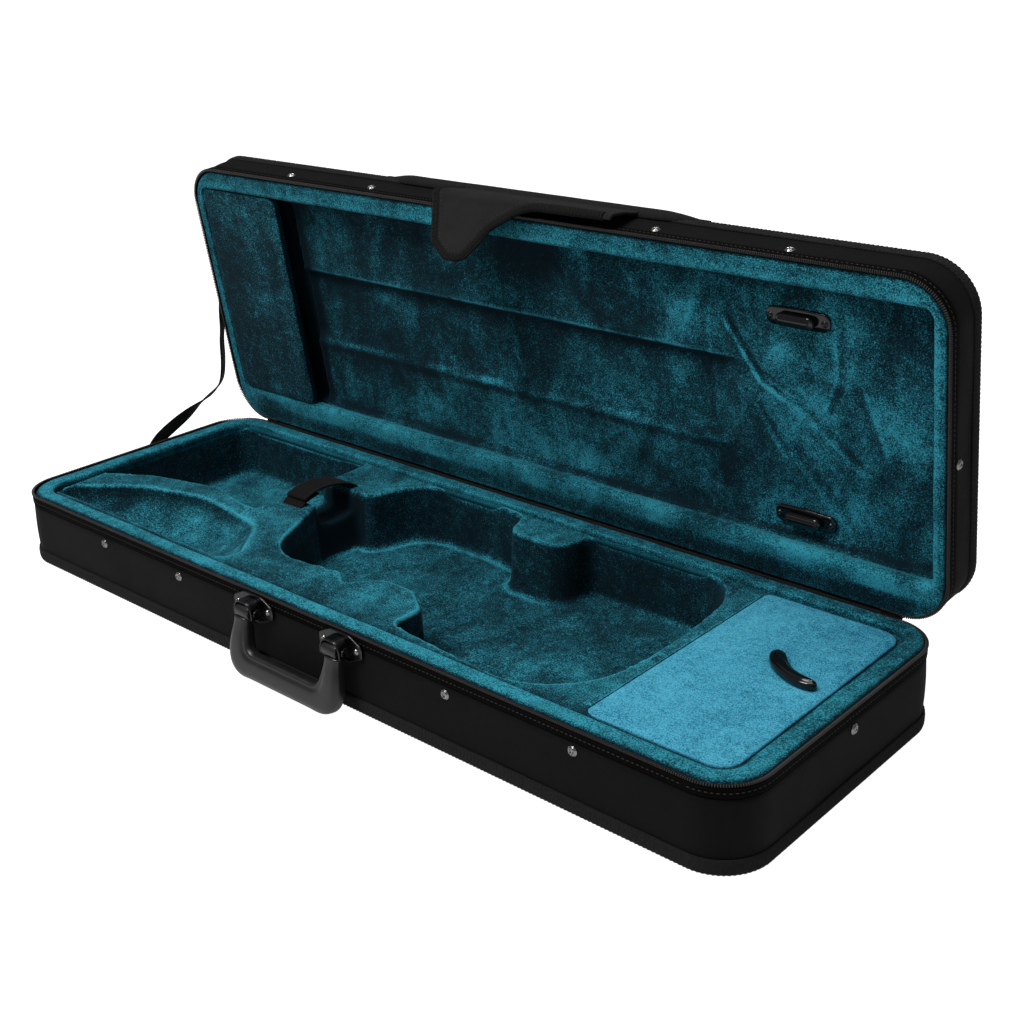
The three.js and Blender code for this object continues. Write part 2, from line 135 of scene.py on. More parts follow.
# ---- materials ----
class Shader:
    """A principled material whose node tree is built from left to right."""

    def __init__(self, name, **sockets):
        self.material = bpy.data.materials.new(name)
        self.material.use_nodes = True
        self.tree = self.material.node_tree
        self.surface = self.tree.nodes["Principled BSDF"]
        self.place = self.node("TexCoord").outputs["Object"]
        for socket, value in sockets.items():
            self.surface.inputs[socket.replace("_", " ")].default_value = value

    def node(self, kind, inputs=None, **settings):
        made = self.tree.nodes.new("ShaderNode" + kind)
        for key, value in settings.items():
            setattr(made, key, value)
        for key, value in (inputs or {}).items():
            self.set(made.inputs[key], value)
        return made

    def set(self, socket, value):
        if isinstance(value, bpy.types.NodeSocket):
            self.tree.links.new(value, socket)
        else:
            socket.default_value = value

    def math(self, operation, *values):
        made = self.node("Math", operation=operation)
        for socket, value in zip(made.inputs, values):
            self.set(socket, value)
        return made.outputs[0]

    def dot(self, first, second):
        made = self.node("VectorMath", {0: first, 1: second}, operation="DOT_PRODUCT")
        return made.outputs["Value"]

    def noise(self, scale, detail=3.0, roughness=0.5, distortion=0.0, stretch=(1, 1, 1)):
        where = self.node("Mapping", {"Vector": self.place, "Scale": stretch}).outputs[0]
        return self.node("TexNoise", {"Vector": where, "Scale": scale, "Detail": detail,
                                      "Roughness": roughness, "Distortion": distortion}).outputs["Fac"]

    def ramp(self, factor, *stops):
        made = self.node("ValToRGB", {"Fac": factor})
        elements = made.color_ramp.elements
        for i, (at, colour) in enumerate(stops):
            element = elements[i] if i < 2 else elements.new(at)
            element.position = at
            element.color = (*colour, 1)
        return made.outputs["Color"]

    def spread(self, value, low, high, to_low=0.0, to_high=1.0):
        return self.node("MapRange", {"Value": value, "From Min": low, "From Max": high,
                                      "To Min": to_low, "To Max": to_high}).outputs[0]

    def bump(self, height, distance, strength=1.0, after=None):
        inputs = {"Height": height, "Distance": distance * MM, "Strength": strength}
        if after is not None:
            inputs["Normal"] = after
        return self.node("Bump", inputs).outputs[0]

    def finish(self, colour=None, roughness=None, normal=None):
        for socket, value in (("Base Color", colour), ("Roughness", roughness), ("Normal", normal)):
            if value is not None:
                self.set(self.surface.inputs[socket], value)
        return self.material


def scaled(tint, factor):
    return [channel * factor for channel in tint]


def velvet(name, deep, middle, light, crush=0.5, face=(0, 0, 1), wall=0.35, sheen=0.06, fade=None):
    """Cut-pile velvet: crushed patches where the nap lies another way, streaks, and a fine sparkle.
    Where the cloth turns away from its face it gets painted shade, as much as wall says, and sharp
    edges get a painted highlight. The points' tone adds painted light and shade, and fade adds painted shade
    along a direction."""
    shader = Shader(name, Roughness=0.92, Specular_IOR_Level=0.12, Sheen_Weight=sheen,
                    Sheen_Roughness=0.4, Sheen_Tint=(0.3, 0.8, 1.0, 1))
    patches = shader.noise(12, 5, 0.6, 0.9)
    streaks = shader.noise(34, 4, 0.6, 0.6, (1, 0.6, 0.45))
    nap = shader.noise(1000, 3, 0.75)
    blotch = shader.noise(130, 3, 0.6)
    value = shader.math("MULTIPLY", shader.math("SUBTRACT", patches, 0.5), crush * 2.2)
    value = shader.math("MULTIPLY_ADD", shader.math("SUBTRACT", streaks, 0.5), crush * 1.3, value)
    value = shader.math("MULTIPLY_ADD", shader.math("SUBTRACT", blotch, 0.5), 0.7, value)
    value = shader.math("MULTIPLY_ADD", shader.math("SUBTRACT", nap, 0.5), 3.6, value)
    # Painted shade where the cloth turns away from its face.
    normal = shader.node("TexCoord").outputs["Normal"]
    facing = shader.dot(normal, face)
    shade_turned_away = shader.math("SUBTRACT", 1.0, shader.math("ABSOLUTE", facing))
    value = shader.math("MULTIPLY_ADD", shade_turned_away, -wall, value)
    # Painted highlight along sharp convex edges.
    edge = shader.spread(shader.node("NewGeometry").outputs["Pointiness"], 0.515, 0.56, 0.0, 0.35)
    tone = shader.node("Attribute", attribute_name="tone").outputs["Fac"]
    value = shader.math("ADD", tone, shader.math("ADD", shader.math("ADD", value, 0.5), edge))
    if fade:
        direction, near, far, change = fade
        along = shader.dot(shader.place, direction)
        value = shader.math("ADD", value, shader.spread(along, near, far, 0.0, change))
    colour = shader.ramp(value, (0.05, deep), (0.5, middle), (1.0, light))
    bumped = shader.bump(nap, 0.5, 0.6, shader.bump(streaks, 2.0, 0.25))
    return shader.finish(colour, None, bumped)


def woven(name, tint, pitch=0.85, specular=0.12, sheen=0.015):
    """Plain-woven nylon: threads over and under each other in the cloth's own two directions."""
    shader = Shader(name, Roughness=0.72, Specular_IOR_Level=specular, Sheen_Weight=sheen)
    cloth = shader.node("SeparateXYZ", {"Vector": shader.node("UVMap").outputs[0]})
    turn = 2 * math.pi / pitch
    warp = shader.math("SINE", shader.math("MULTIPLY", cloth.outputs[0], turn))
    weft = shader.math("SINE", shader.math("MULTIPLY", cloth.outputs[1], turn))
    weave = shader.math("MULTIPLY", warp, weft)
    slub = shader.noise(260, 3, 0.6, 0.0, (1, 1, 0.15))
    wear = shader.noise(9, 4, 0.6)
    value = shader.math("MULTIPLY_ADD", weave, 0.16, shader.math("ADD", shader.math("MULTIPLY", slub, 0.35),
                                                                shader.math("MULTIPLY", wear, 0.45)))
    colour = shader.ramp(value, (0.15, scaled(tint, 0.6)), (0.65, scaled(tint, 1.5)))
    roughness = shader.spread(wear, 0.3, 0.7, 0.62, 0.82)
    normal = shader.bump(weave, 0.10, 0.8, shader.bump(wear, 3.0, 0.12))
    return shader.finish(colour, roughness, normal)


def herringbone(name, tint, along=0, width=2.6, pitch=1.5):
    """Twill webbing whose diagonal turns back at every rib, along the band or across it."""
    shader = Shader(name, Roughness=0.8, Specular_IOR_Level=0.12, Sheen_Weight=0.02)
    cloth = shader.node("SeparateXYZ", {"Vector": shader.node("UVMap").outputs[0]})
    run, side = cloth.outputs[along], cloth.outputs[1 - along]
    fold = shader.math("PINGPONG", side, width)
    twill = shader.math("SINE", shader.math("MULTIPLY", shader.math("ADD", run, fold), 2 * math.pi / pitch))
    fuzz = shader.noise(700, 2, 0.6)
    value = shader.math("MULTIPLY_ADD", twill, 0.3, fuzz)
    colour = shader.ramp(value, (0.2, scaled(tint, 0.25)), (0.8, scaled(tint, 1.5)))
    return shader.finish(colour, None, shader.bump(value, 0.35, 0.9))


def moulded(name, tint, roughness, grain=0.05):
    """Moulded plastic with a fine spark-eroded grain and faint handling marks."""
    shader = Shader(name, Specular_IOR_Level=0.5)
    marks = shader.noise(60, 5, 0.65, 0.4)
    fine = shader.noise(2200, 2, 0.5)
    colour = shader.ramp(marks, (0.3, scaled(tint, 0.85)), (0.7, scaled(tint, 1.2)))
    rough = shader.spread(marks, 0.3, 0.7, roughness * 0.85, roughness * 1.2)
    return shader.finish(colour, rough, shader.bump(fine, grain, 0.6))


def plated(name, tint, roughness, scratches=0.3):
    """Plated metal with brushed hairlines and duller spots."""
    shader = Shader(name, Metallic=1.0)
    hair = shader.noise(900, 2, 0.7, 0.0, (1, 0.06, 0.5))
    dull = shader.noise(320, 4, 0.6)
    colour = shader.ramp(dull, (0.3, scaled(tint, 0.7)), (0.65, tint))
    rough = shader.spread(hair, 0.3, 0.7, roughness * 0.7, roughness * 1.5)
    return shader.finish(colour, rough, shader.bump(hair, 0.03, scratches))


def teal(part, middle, crush, wall, face=(0, 0, 1), **settings):
    """The lining's teal velvet, each part given its own brightness and crush; the rims' extra brightness is
    painted light on their rolls.
    """
    return velvet(f"teal_velvet_{part}", (0.0012, 0.009, 0.015), middle, (0.036, 0.32, 0.42),
                  crush, face, wall, **settings)


# The directions each velvet faces: cloth turned away from them gets painted shade.
LID_FACE = tuple(LID.to_3x3() @ Vector((0, 0, -1)))
RIM_FACE = (0, 0.1, 0.99)
# Painted shade towards the lining's top-left, the shadow under the lid's top rim.
PAINTED_SHADE_UPWARD = ((-0.35, 0, 1), 0.10, 0.33, -0.42)
# One teal for all parts: the rims' velvet is painted lighter than the insert's, as painted light on the
# rolls.
INSERT_VELVET = teal("insert", (0.0045, 0.050, 0.072), 0.5, 0.5)
RIM_VELVET = teal("rims", (0.006, 0.086, 0.118), 0.35, 0.5, RIM_FACE)
LID_RIM_VELVET = teal("lid_rims", (0.0055, 0.076, 0.104), 0.4, 0.4, LID_FACE)
PANEL_VELVET = teal("bow_panel", (0.0030, 0.023, 0.035), 0.45, 0.4, LID_FACE)
LINING_VELVET = teal("lining", (0.0045, 0.052, 0.074), 0.75, 0.7, LID_FACE, fade=PAINTED_SHADE_UPWARD)
BLUE_VELVET = velvet("blue_velvet_board", (0.010, 0.10, 0.17), (0.05, 0.32, 0.47), (0.10, 0.46, 0.62),
                     0.35, sheen=0.05)
NYLON = woven("black_nylon", (0.0036, 0.0036, 0.0037), specular=0.07)
SMOOTH_NYLON = woven("black_nylon_smooth", (0.0095, 0.0095, 0.0098), 0.6, 0.14)
TAPE = woven("black_zip_tape", (0.0026, 0.0021, 0.0019), 0.6, 0.03, 0.0)
BINDING = herringbone("black_binding", (0.013, 0.013, 0.0134))
WEBBING = herringbone("black_webbing", (0.0105, 0.0103, 0.0103), along=1, width=3.5, pitch=1.4)
BRAID = herringbone("black_braid", (0.0042, 0.0038, 0.0036), along=1, width=2.4, pitch=2.6)
COIL = moulded("black_zip_coil", (0.011, 0.0085, 0.0075), 0.4)
SATIN_PLASTIC = moulded("satin_black_plastic", (0.008, 0.008, 0.0083), 0.36)
GLOSS_PLASTIC = moulded("gloss_black_plastic", (0.004, 0.004, 0.0042), 0.10, 0.01)
BLACK_NICKEL = plated("black_nickel", (0.05, 0.05, 0.053), 0.24)
NICKEL = plated("nickel", (0.30, 0.295, 0.285), 0.20)
STRAP = herringbone("black_neck_strap", (0.0055, 0.0048, 0.0046), along=1, width=3.5, pitch=1.2)
THREAD = moulded("black_thread", (0.010, 0.010, 0.0105), 0.6, 0.2)


# ---- shapes ----
def waves(points, length, seed, count=9):
    """Smooth irregular waves of about that length, roughly from -1 to 1, at each point."""
    draw = np.random.default_rng(seed)
    points = np.asarray(points, float)
    total = np.zeros(points.shape[:-1])
    for _ in range(count):
        direction = draw.normal(size=points.shape[-1])
        direction *= 2 * np.pi / (length * draw.uniform(0.7, 1.6) * np.linalg.norm(direction))
        total += np.sin(points @ direction + draw.uniform(0, 2 * np.pi))
    return total / math.sqrt(count)


def ease(value, low, high):
    """0 below low, 1 above high, and smooth between."""
    share = np.clip((value - low) / (high - low), 0, 1)
    return share * share * (3 - 2 * share)


def bell(value):
    """1 at zero, falling smoothly to 0 on both sides."""
    return np.exp(-value ** 2)


def moved(x, y, z):
    return Matrix.Translation((x, y, z))


def turned(degrees, axis):
    return Matrix.Rotation(math.radians(degrees), 4, axis)


def travelled(path):
    """How far along a path each of its points lies."""
    return np.concatenate([[0], np.cumsum(np.linalg.norm(np.diff(path, axis=0), axis=1))])


def sampled(at, run, path):
    """The path's points at the given distances, run being how far along each of its own lies."""
    return np.stack([np.interp(at, run, path[:, k]) for k in range(path.shape[1])], 1)


def directions(path):
    """The unit direction of a path at each of its points."""
    along = np.gradient(path, axis=0)
    return along / np.linalg.norm(along, axis=1, keepdims=True)


def to_right(ways):
    """Directions in a plane turned a quarter to the right."""
    return np.stack([ways[:, 1], -ways[:, 0]], 1)


def grid_faces(rows, columns, keep=None):
    """The faces between a grid's points, or of those cells that keep says."""
    cell = (np.arange(rows - 1)[:, None] * columns + np.arange(columns - 1)).ravel()
    if keep is not None:
        cell = cell[keep(cell)]
    return np.stack([cell, cell + 1, cell + columns + 1, cell + columns], 1)


def grid_rim(rows, columns):
    """The points round the edge of a grid, in order."""
    top, right = np.arange(columns), np.arange(1, rows) * columns + columns - 1
    bottom, left = top[-2::-1] + (rows - 1) * columns, np.arange(rows - 2, 0, -1) * columns
    return np.concatenate([top, right, bottom, left])


def to_object(name, points, faces, material, place=STILL, uvs=None):
    placed = np.asarray(points, float) @ np.array(place.to_3x3()).T + np.array(place.translation)
    mesh = bpy.data.meshes.new(name)
    mesh.from_pydata((placed * MM).tolist(), [], faces)
    if uvs is not None:
        mesh.uv_layers.new(name="cloth").data.foreach_set("uv", np.asarray(uvs, np.float32).ravel())
    mesh.materials.append(material)
    tidy = bmesh.new()
    tidy.from_mesh(mesh)
    bmesh.ops.recalc_face_normals(tidy, faces=tidy.faces)
    tidy.to_mesh(mesh)
    tidy.free()
    mesh.shade_smooth()
    made = bpy.data.objects.new(name, mesh)
    bpy.context.scene.collection.objects.link(made)
    return made


def loft(name, rings, material, place=STILL, closed=False):
    """Skins a stack of rings that have the same number of points. A closed stack meets itself and
    an open one is capped. The cloth runs round the rings and across the stack."""
    rings = np.asarray(rings, float)
    count, size = rings.shape[:2]
    middle = rings[count // 2]
    around = travelled(np.concatenate([middle, middle[:1]]))
    gaps = np.linalg.norm(np.roll(rings, -1, 0) - rings, axis=2).mean(1)
    across = np.concatenate([[0], np.cumsum(gaps)])
    rows = count if closed else count - 1
    i, j = np.meshgrid(np.arange(rows), np.arange(size), indexing="ij")
    i, j = i.ravel(), j.ravel()
    k, m = (i + 1) % count, (j + 1) % size
    faces = np.stack([i * size + j, i * size + m, k * size + m, k * size + j], 1)
    uvs = np.stack([around[j], across[i], around[j + 1], across[i],
                    around[j + 1], across[i + 1], around[j], across[i + 1]], 1).reshape(-1, 2)
    faces = faces.tolist()
    if not closed:
        faces += [list(range(size))[::-1], list(range((count - 1) * size, count * size))]
        uvs = np.concatenate([uvs, rings[0][::-1, :2], rings[-1][:, :2]])
    return to_object(name, rings.reshape(-1, 3), faces, material, place, uvs)


SIDE_STEPS = {"long": 190, "short": 62}
ARC_STEPS = 16


def case_outline(inset, scale=1):
    """The case's outline drawn in by one distance or by one for each side, as points that
    correspond from one outline to the next. It starts at the right end of the front."""
    if not isinstance(inset, dict):
        inset = {"front": inset, "back": inset, "ends": inset}
    radius = max(CORNER - max(inset.values()), 8)
    left, right = -HALF_LENGTH + inset["ends"], HALF_LENGTH - inset["ends"]
    front, back = -HALF_WIDTH + inset["front"], HALF_WIDTH - inset["back"]
    centres = [(right - radius, front + radius), (right - radius, back - radius),
               (left + radius, back - radius), (left + radius, front + radius)]
    arcs = []
    for turn, centre in enumerate(centres):
        angles = np.radians(90 * turn - 90 + np.linspace(0, 90, ARC_STEPS * scale + 1))
        arcs.append(np.array(centre) + radius * np.stack([np.cos(angles), np.sin(angles)], 1))
    points = []
    for turn, arc in enumerate(arcs):
        after = arcs[(turn + 1) % 4][0]
        steps = SIDE_STEPS["short" if turn % 2 == 0 else "long"] * scale
        share = np.arange(1, steps)[:, None] / steps
        points += [arc, arc[-1] * (1 - share) + after * share]
    return np.concatenate(points)


def at_height(outline, height):
    return np.column_stack([outline, np.full(len(outline), float(height))])


def sheet_solid(name, front, back, material):
    """Cloth of some thickness between two matching grids of points, closed round its edges."""
    rows, columns = front.shape[:2]
    across, down = travelled(front[rows // 2]), travelled(front[:, columns // 2])
    points = np.concatenate([front.reshape(-1, 3), back.reshape(-1, 3)])
    half = rows * columns
    faces = grid_faces(rows, columns)
    rim = grid_rim(rows, columns)
    after = np.roll(rim, -1)
    walls = np.stack([after, rim, rim + half, after + half], 1)
    faces = np.concatenate([faces, faces[:, ::-1] + half, walls])
    flat = np.stack(np.meshgrid(across, down), -1).reshape(-1, 2)
    uvs = np.concatenate([flat, flat])[faces.ravel()]
    return to_object(name, points, faces.tolist(), material, uvs=uvs)


def rounded(corners, step=3.0):
    """A closed outline through corners (x, y, radius), each rounded with an arc."""
    runs = []
    for i, (x, y, radius) in enumerate(corners):
        corner = np.array([x, y], float)
        back = np.array(corners[i - 1][:2], float) - corner
        ahead = np.array(corners[(i + 1) % len(corners)][:2], float) - corner
        back, ahead = back / np.linalg.norm(back), ahead / np.linalg.norm(ahead)
        half = math.acos(np.clip(back @ ahead, -1, 1)) / 2
        bisector = (back + ahead) / np.linalg.norm(back + ahead)
        centre = corner + bisector * radius / math.sin(half)
        start = corner + back * radius / math.tan(half) - centre
        end = corner + ahead * radius / math.tan(half) - centre
        first, last = math.atan2(start[1], start[0]), math.atan2(end[1], end[0])
        sweep = (last - first + math.pi) % (2 * math.pi) - math.pi
        steps = max(6, math.ceil(abs(sweep) * radius / step))
        angles = first + sweep * np.linspace(0, 1, steps + 1)
        runs.append(centre + radius * np.stack([np.cos(angles), np.sin(angles)], 1))
    points = []
    for i, run in enumerate(runs):
        after = runs[(i + 1) % len(runs)][0]
        steps = max(1, math.ceil(np.linalg.norm(after - run[-1]) / step))
        share = np.arange(1, steps)[:, None] / steps
        points += [run, run[-1] * (1 - share) + after * share]
    return np.concatenate(points)


def rectangle(left, right, front, back, radius, step=3.0):
    return rounded([(left, front, radius), (right, front, radius),
                    (right, back, radius), (left, back, radius)], step)


def within(rim, margin, radius, left=None, right=None, step=3.0):
    """The rectangle inside a rim, drawn in by a margin, or up to a left or right side that is given."""
    left = -HALF_LENGTH + rim["ends"] + margin if left is None else left
    right = HALF_LENGTH - rim["ends"] - margin if right is None else right
    return rectangle(left, right, -HALF_WIDTH + rim["front"] + margin, HALF_WIDTH - rim["back"] - margin,
                     radius, step)


def outward(outline):
    """Unit normals that point out of a closed outline, whichever way it runs."""
    along = np.roll(outline, -1, 0) - np.roll(outline, 1, 0)
    normals = to_right(along)
    normals /= np.maximum(np.linalg.norm(normals, axis=1, keepdims=True), 1e-9)
    x, y = outline.T
    area = (x * np.roll(y, -1) - np.roll(x, -1) * y).sum()
    return normals if area > 0 else -normals


def slab(name, outline, low, high, edge, material, place=STILL, crown=0.0, reach=0.0, steps=4):
    """A plate on an outline with rounded edges, its top rising by crown over reach from the edge."""
    normals = outward(outline)
    angles = np.linspace(0, math.pi / 2, steps + 1)
    profile = [(edge * (1 - math.sin(a)), low + edge * (1 - math.cos(a))) for a in angles]
    profile += [(edge * (1 - math.cos(a)), high - edge * (1 - math.sin(a))) for a in angles]
    if crown:
        profile += [(edge + reach * t, high + crown * (1 - (1 - t) ** 2)) for t in (0.2, 0.4, 0.6, 0.8, 1)]
    return loft(name, [at_height(outline - normals * inset, z) for inset, z in profile], material, place)


def distance(points, outline):
    """How far each point is inside a closed outline: negative outside it."""
    a, b = outline, np.roll(outline, -1, 0)
    along = b - a
    long2 = np.maximum((along ** 2).sum(1), 1e-12)
    result = np.empty(len(points))
    for start in range(0, len(points), 4000):
        p = points[start:start + 4000, None, :]
        share = np.clip(((p - a) * along).sum(2) / long2, 0, 1)
        nearest = np.linalg.norm(p - a - share[..., None] * along, axis=2).min(1)
        above = (a[:, 1] > p[..., 1]) != (b[:, 1] > p[..., 1])
        cross = a[:, 0] + (p[..., 1] - a[:, 1]) * along[:, 0] / np.where(along[:, 1] == 0, 1e-12, along[:, 1])
        inside = (above & (p[..., 0] < cross)).sum(1) % 2 == 1
        result[start:start + 4000] = np.where(inside, nearest, -nearest)
    return result


def relief(name, back, surface, material, place=STILL, voxel=2.0, smooth=6):
    """A closed block inside the walls with one sculpted face, whose height surface(points) gives,
    evenly remeshed and softened as foam under cloth is."""
    outline, step = case_outline(VELVET_INSET), 1.6
    (left, front), (right, rear) = outline.min(0), outline.max(0)
    xs = np.linspace(left, right, round((right - left) / step) + 1)
    ys = np.linspace(front, rear, round((rear - front) / step) + 1)
    grid = np.stack(np.meshgrid(xs, ys), -1).reshape(-1, 2)
    top = np.column_stack([grid, surface(grid)])
    flat = np.column_stack([grid, np.full(len(grid), float(back))])
    faces = grid_faces(len(ys), len(xs), lambda cell: distance(grid[cell] + step / 2, outline) > 0)
    under = faces[:, ::-1] + len(grid)
    runs = np.concatenate([faces[:, [k, (k + 1) % 4]] for k in range(4)])
    keys = runs[:, 0] * len(grid) + runs[:, 1]
    rim = runs[~np.isin(keys, runs[:, 1] * len(grid) + runs[:, 0])]
    walls = np.stack([rim[:, 1], rim[:, 0], rim[:, 0] + len(grid), rim[:, 1] + len(grid)], 1)
    used = np.unique(faces)
    used = np.concatenate([used, used + len(grid)])
    order = np.zeros(2 * len(grid), int)
    order[used] = np.arange(len(used))
    faces, under, walls = order[faces], order[under], order[walls]
    points = np.concatenate([top, flat])[used]
    block = to_object(name, points, np.concatenate([faces, under, walls]).tolist(), material, place)
    remesh = block.modifiers.new("remesh", "REMESH")
    remesh.mode = "VOXEL"
    remesh.voxel_size = voxel * MM
    soften = block.modifiers.new("soften", "SMOOTH")
    soften.factor = 0.5
    soften.iterations = smooth
    return apply_modifiers(block)


def apply_modifiers(obj):
    bpy.context.view_layer.update()
    made = bpy.data.meshes.new_from_object(obj.evaluated_get(bpy.context.evaluated_depsgraph_get()))
    obj.modifiers.clear()
    obj.data = made
    made.shade_smooth()
    return obj


def band_section(width, thickness, steps=5):
    """A flat band's section with round edges: across, then through."""
    half, radius = width / 2, thickness / 2
    angles = np.linspace(-math.pi / 2, math.pi / 2, steps + 1)
    right = np.stack([half - radius + radius * np.cos(angles), radius * np.sin(angles)], 1)
    run = np.linspace(1, -1, 7)[1:-1, None] * np.array([half - radius, 0]) + np.array([0, radius])
    left = -right
    under = -run
    return np.concatenate([right, run, left, under])


def smooth_path(points, steps):
    """Evenly spaced points on a smooth curve through the given ones."""
    points = np.array(points, float)
    padded = np.concatenate([[2 * points[0] - points[1]], points, [2 * points[-1] - points[-2]]])
    fine = []
    for a, b, c, d in zip(padded, padded[1:], padded[2:], padded[3:]):
        t = np.linspace(0, 1, 24, endpoint=False)[:, None]
        fine.append(0.5 * (2 * b + (c - a) * t + (2 * a - 5 * b + 4 * c - d) * t ** 2
                           + (3 * b - a - 3 * c + d) * t ** 3))
    fine = np.concatenate(fine + [points[-1:]])
    run = travelled(fine)
    return sampled(np.linspace(0, run[-1], steps + 1), run, fine)


def strap(name, path, across, width, thickness, material, place=STILL):
    """A flat strap along a path, its width lying along the given direction at each point."""
    path = np.asarray(path, float)
    across = np.broadcast_to(np.asarray(across, float), path.shape)
    along = directions(path)
    side = across - (across * along).sum(1, keepdims=True) * along
    side /= np.linalg.norm(side, axis=1, keepdims=True)
    through = np.cross(along, side)
    section = band_section(width, thickness)
    rings = path[:, None] + section[:, 0][None, :, None] * side[:, None] \
        + section[:, 1][None, :, None] * through[:, None]
    return loft(name, rings, material, place)


def stitches(name, path, normals, place=STILL, length=2.6, gap=1.2, thick=0.5):
    """A row of separate thread stitches that lie along a path, each a small raised grain."""
    path = np.asarray(path, float)
    normals = np.broadcast_to(np.asarray(normals, float), path.shape)
    run = travelled(path)
    shares = np.array([0, 0.25, 0.75, 1])
    points, faces = [], []
    for n in range(int(run[-1] // (length + gap))):
        start = n * (length + gap)
        spine = sampled(start + length * shares, run, path)
        up = sampled([start], run, normals)[0]
        direction = spine[-1] - spine[0]
        side = np.cross(direction / np.linalg.norm(direction), up)
        first = len(points)
        points.append(spine[0])
        for centre in spine[1:3]:
            points += [centre + thick * (math.cos(a) * side * 0.6 + math.sin(a) * up * 0.6)
                       for a in np.arange(6) * math.pi / 3]
        points.append(spine[3])
        a, b, end = first + 1, first + 7, first + 13
        for q in range(6):
            r = (q + 1) % 6
            faces += [[first, a + r, a + q], [a + q, a + r, b + r, b + q], [end, b + q, b + r]]
    return to_object(name, points, faces, THREAD, place)


def ring_at(inset, height, out=0.0, scale=1):
    """A ring round the case at a height, pushed out by a distance or by one for each point."""
    outline = case_outline(inset, scale)
    if np.any(out):
        outline = outline + outward(outline) * np.reshape(out, (-1, 1))
    return at_height(outline, height)


def put(obj, body, slot, *nodes):
    """Rides the piece on a body and hides the CAD nodes that it stands for; its slot, the finish, is not
    used.
    """
    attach(obj, body)
    if nodes:
        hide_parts(*nodes)
    return obj


# ---- covers: nylon over board, in the base and in the lid ----
def tub(name, heights, floor, outer_face, place=STILL):
    """A covered tray: outer_face is its closed side, and heights run from it to the open one."""
    near, far = heights
    sign = 1 if far > near else -1
    inner = COVER_INSET + WALL
    profile = [(26, outer_face), (10, outer_face), (5.5, outer_face + sign * 0.5),
               (3.1, outer_face + sign * 1.9), (1.9, outer_face + sign * 4.0)]
    profile += [(COVER_INSET, z) for z in np.linspace(near, far, 12)]
    profile += [(2.4, far + sign * 0.7), (inner - 1, far + sign * 0.7), (inner, far),
                (inner, floor + sign * 1.5), (inner + 2, floor)]
    rings = []
    for inset, z in profile:
        ring = ring_at(inset, z)
        if inset == COVER_INSET:
            middle = math.sin(math.pi * (z - near) / (far - near))
            bulge = 0.5 * middle + 0.35 * middle * waves(ring, 120, 3)
            ring = ring_at(inset, z, bulge)
        rings.append(ring)
    return loft(name, rings, NYLON, place)


put(tub("base_cover", (7, BASE_HEIGHT - TAPE_HEIGHT - 1.2), BOARD, 0), "base", "nylon", "base_shell")
put(tub("lid_cover", (LID_DEPTH - 7, TAPE_HEIGHT + 1.2), LID_DEPTH - BOARD, LID_DEPTH, LID),
    "lid", "nylon", "lid_shell")


def herringbone_band(name, low, high, place=STILL, proud=0.5):
    """Binding sewn round an edge, its chevron ribs raised."""
    scale, chevron, rib = 4, 5.2, 3.4
    profile = [(1.6, low + 0.4), (0.7, low), (0.25, low + 0.7)]
    profile += [(0.0, z) for z in np.linspace(low + 1.8, high - 1.8, 7)]
    profile += [(0.25, high - 0.7), (0.7, high), (1.6, high - 0.4)]
    run = travelled(case_outline(0, scale))
    rings = []
    for inset, z in profile:
        slant = abs((z - low) % chevron - chevron / 2)
        crown = proud * math.sin(math.pi * np.clip((z - low) / (high - low), 0, 1))
        ribs = 0.4 * np.sin((run + slant) * 2 * math.pi / rib)
        rings.append(ring_at(inset, z, (crown + ribs) if inset < 1 else 0.0, scale))
    return loft(name, rings, BINDING, place, closed=True)


put(herringbone_band("base_bottom_binding", 0.6, 12), "base", "webbing", "base_bottom_trim")
put(herringbone_band("lid_edge_binding", LID_DEPTH - 10, LID_DEPTH - 0.6, LID, 0.7),
    "lid", "webbing", "lid_edge_trim")


def zip_tape(name, low, high, place=STILL):
    """Woven zip tape with a raised sewn edge, low being the side away from the teeth."""
    span = high - low
    profile = [(3.0, low), (1.5, low), (1.15, low + 0.04 * span), (0.95, low + 0.1 * span),
               (0.9, low + 0.18 * span), (1.0, low + 0.24 * span), (1.0, low + 0.6 * span),
               (0.85, low + 0.8 * span), (0.8, low + 0.92 * span), (1.3, high), (3.0, high)]
    sides = [{"front": inset, "back": min(inset, 1.1), "ends": inset} for inset, _ in profile]
    return loft(name, [ring_at(side, z) for side, (_, z) in zip(sides, profile)], TAPE, place, closed=True)


put(zip_tape("base_tape", BASE_HEIGHT - TAPE_HEIGHT + 0.1, BASE_HEIGHT - 1.6),
    "base", "webbing", "base_zip_tape")
put(zip_tape("lid_tape", TAPE_HEIGHT, 1.6, LID), "lid", "webbing", "lid_zip_tape")


def zip_route(inset=1.7):
    """The line of the zip's teeth, from the right end of the hinge side round the front to the left."""
    outline = case_outline(inset)
    gap = (outline[:, 1] > HALF_WIDTH - inset - 0.1) & (np.abs(outline[:, 0]) < ZIP_END)
    start = np.flatnonzero(gap)[-1] + 1
    return np.roll(outline, -start, 0)[:len(outline) - gap.sum()]


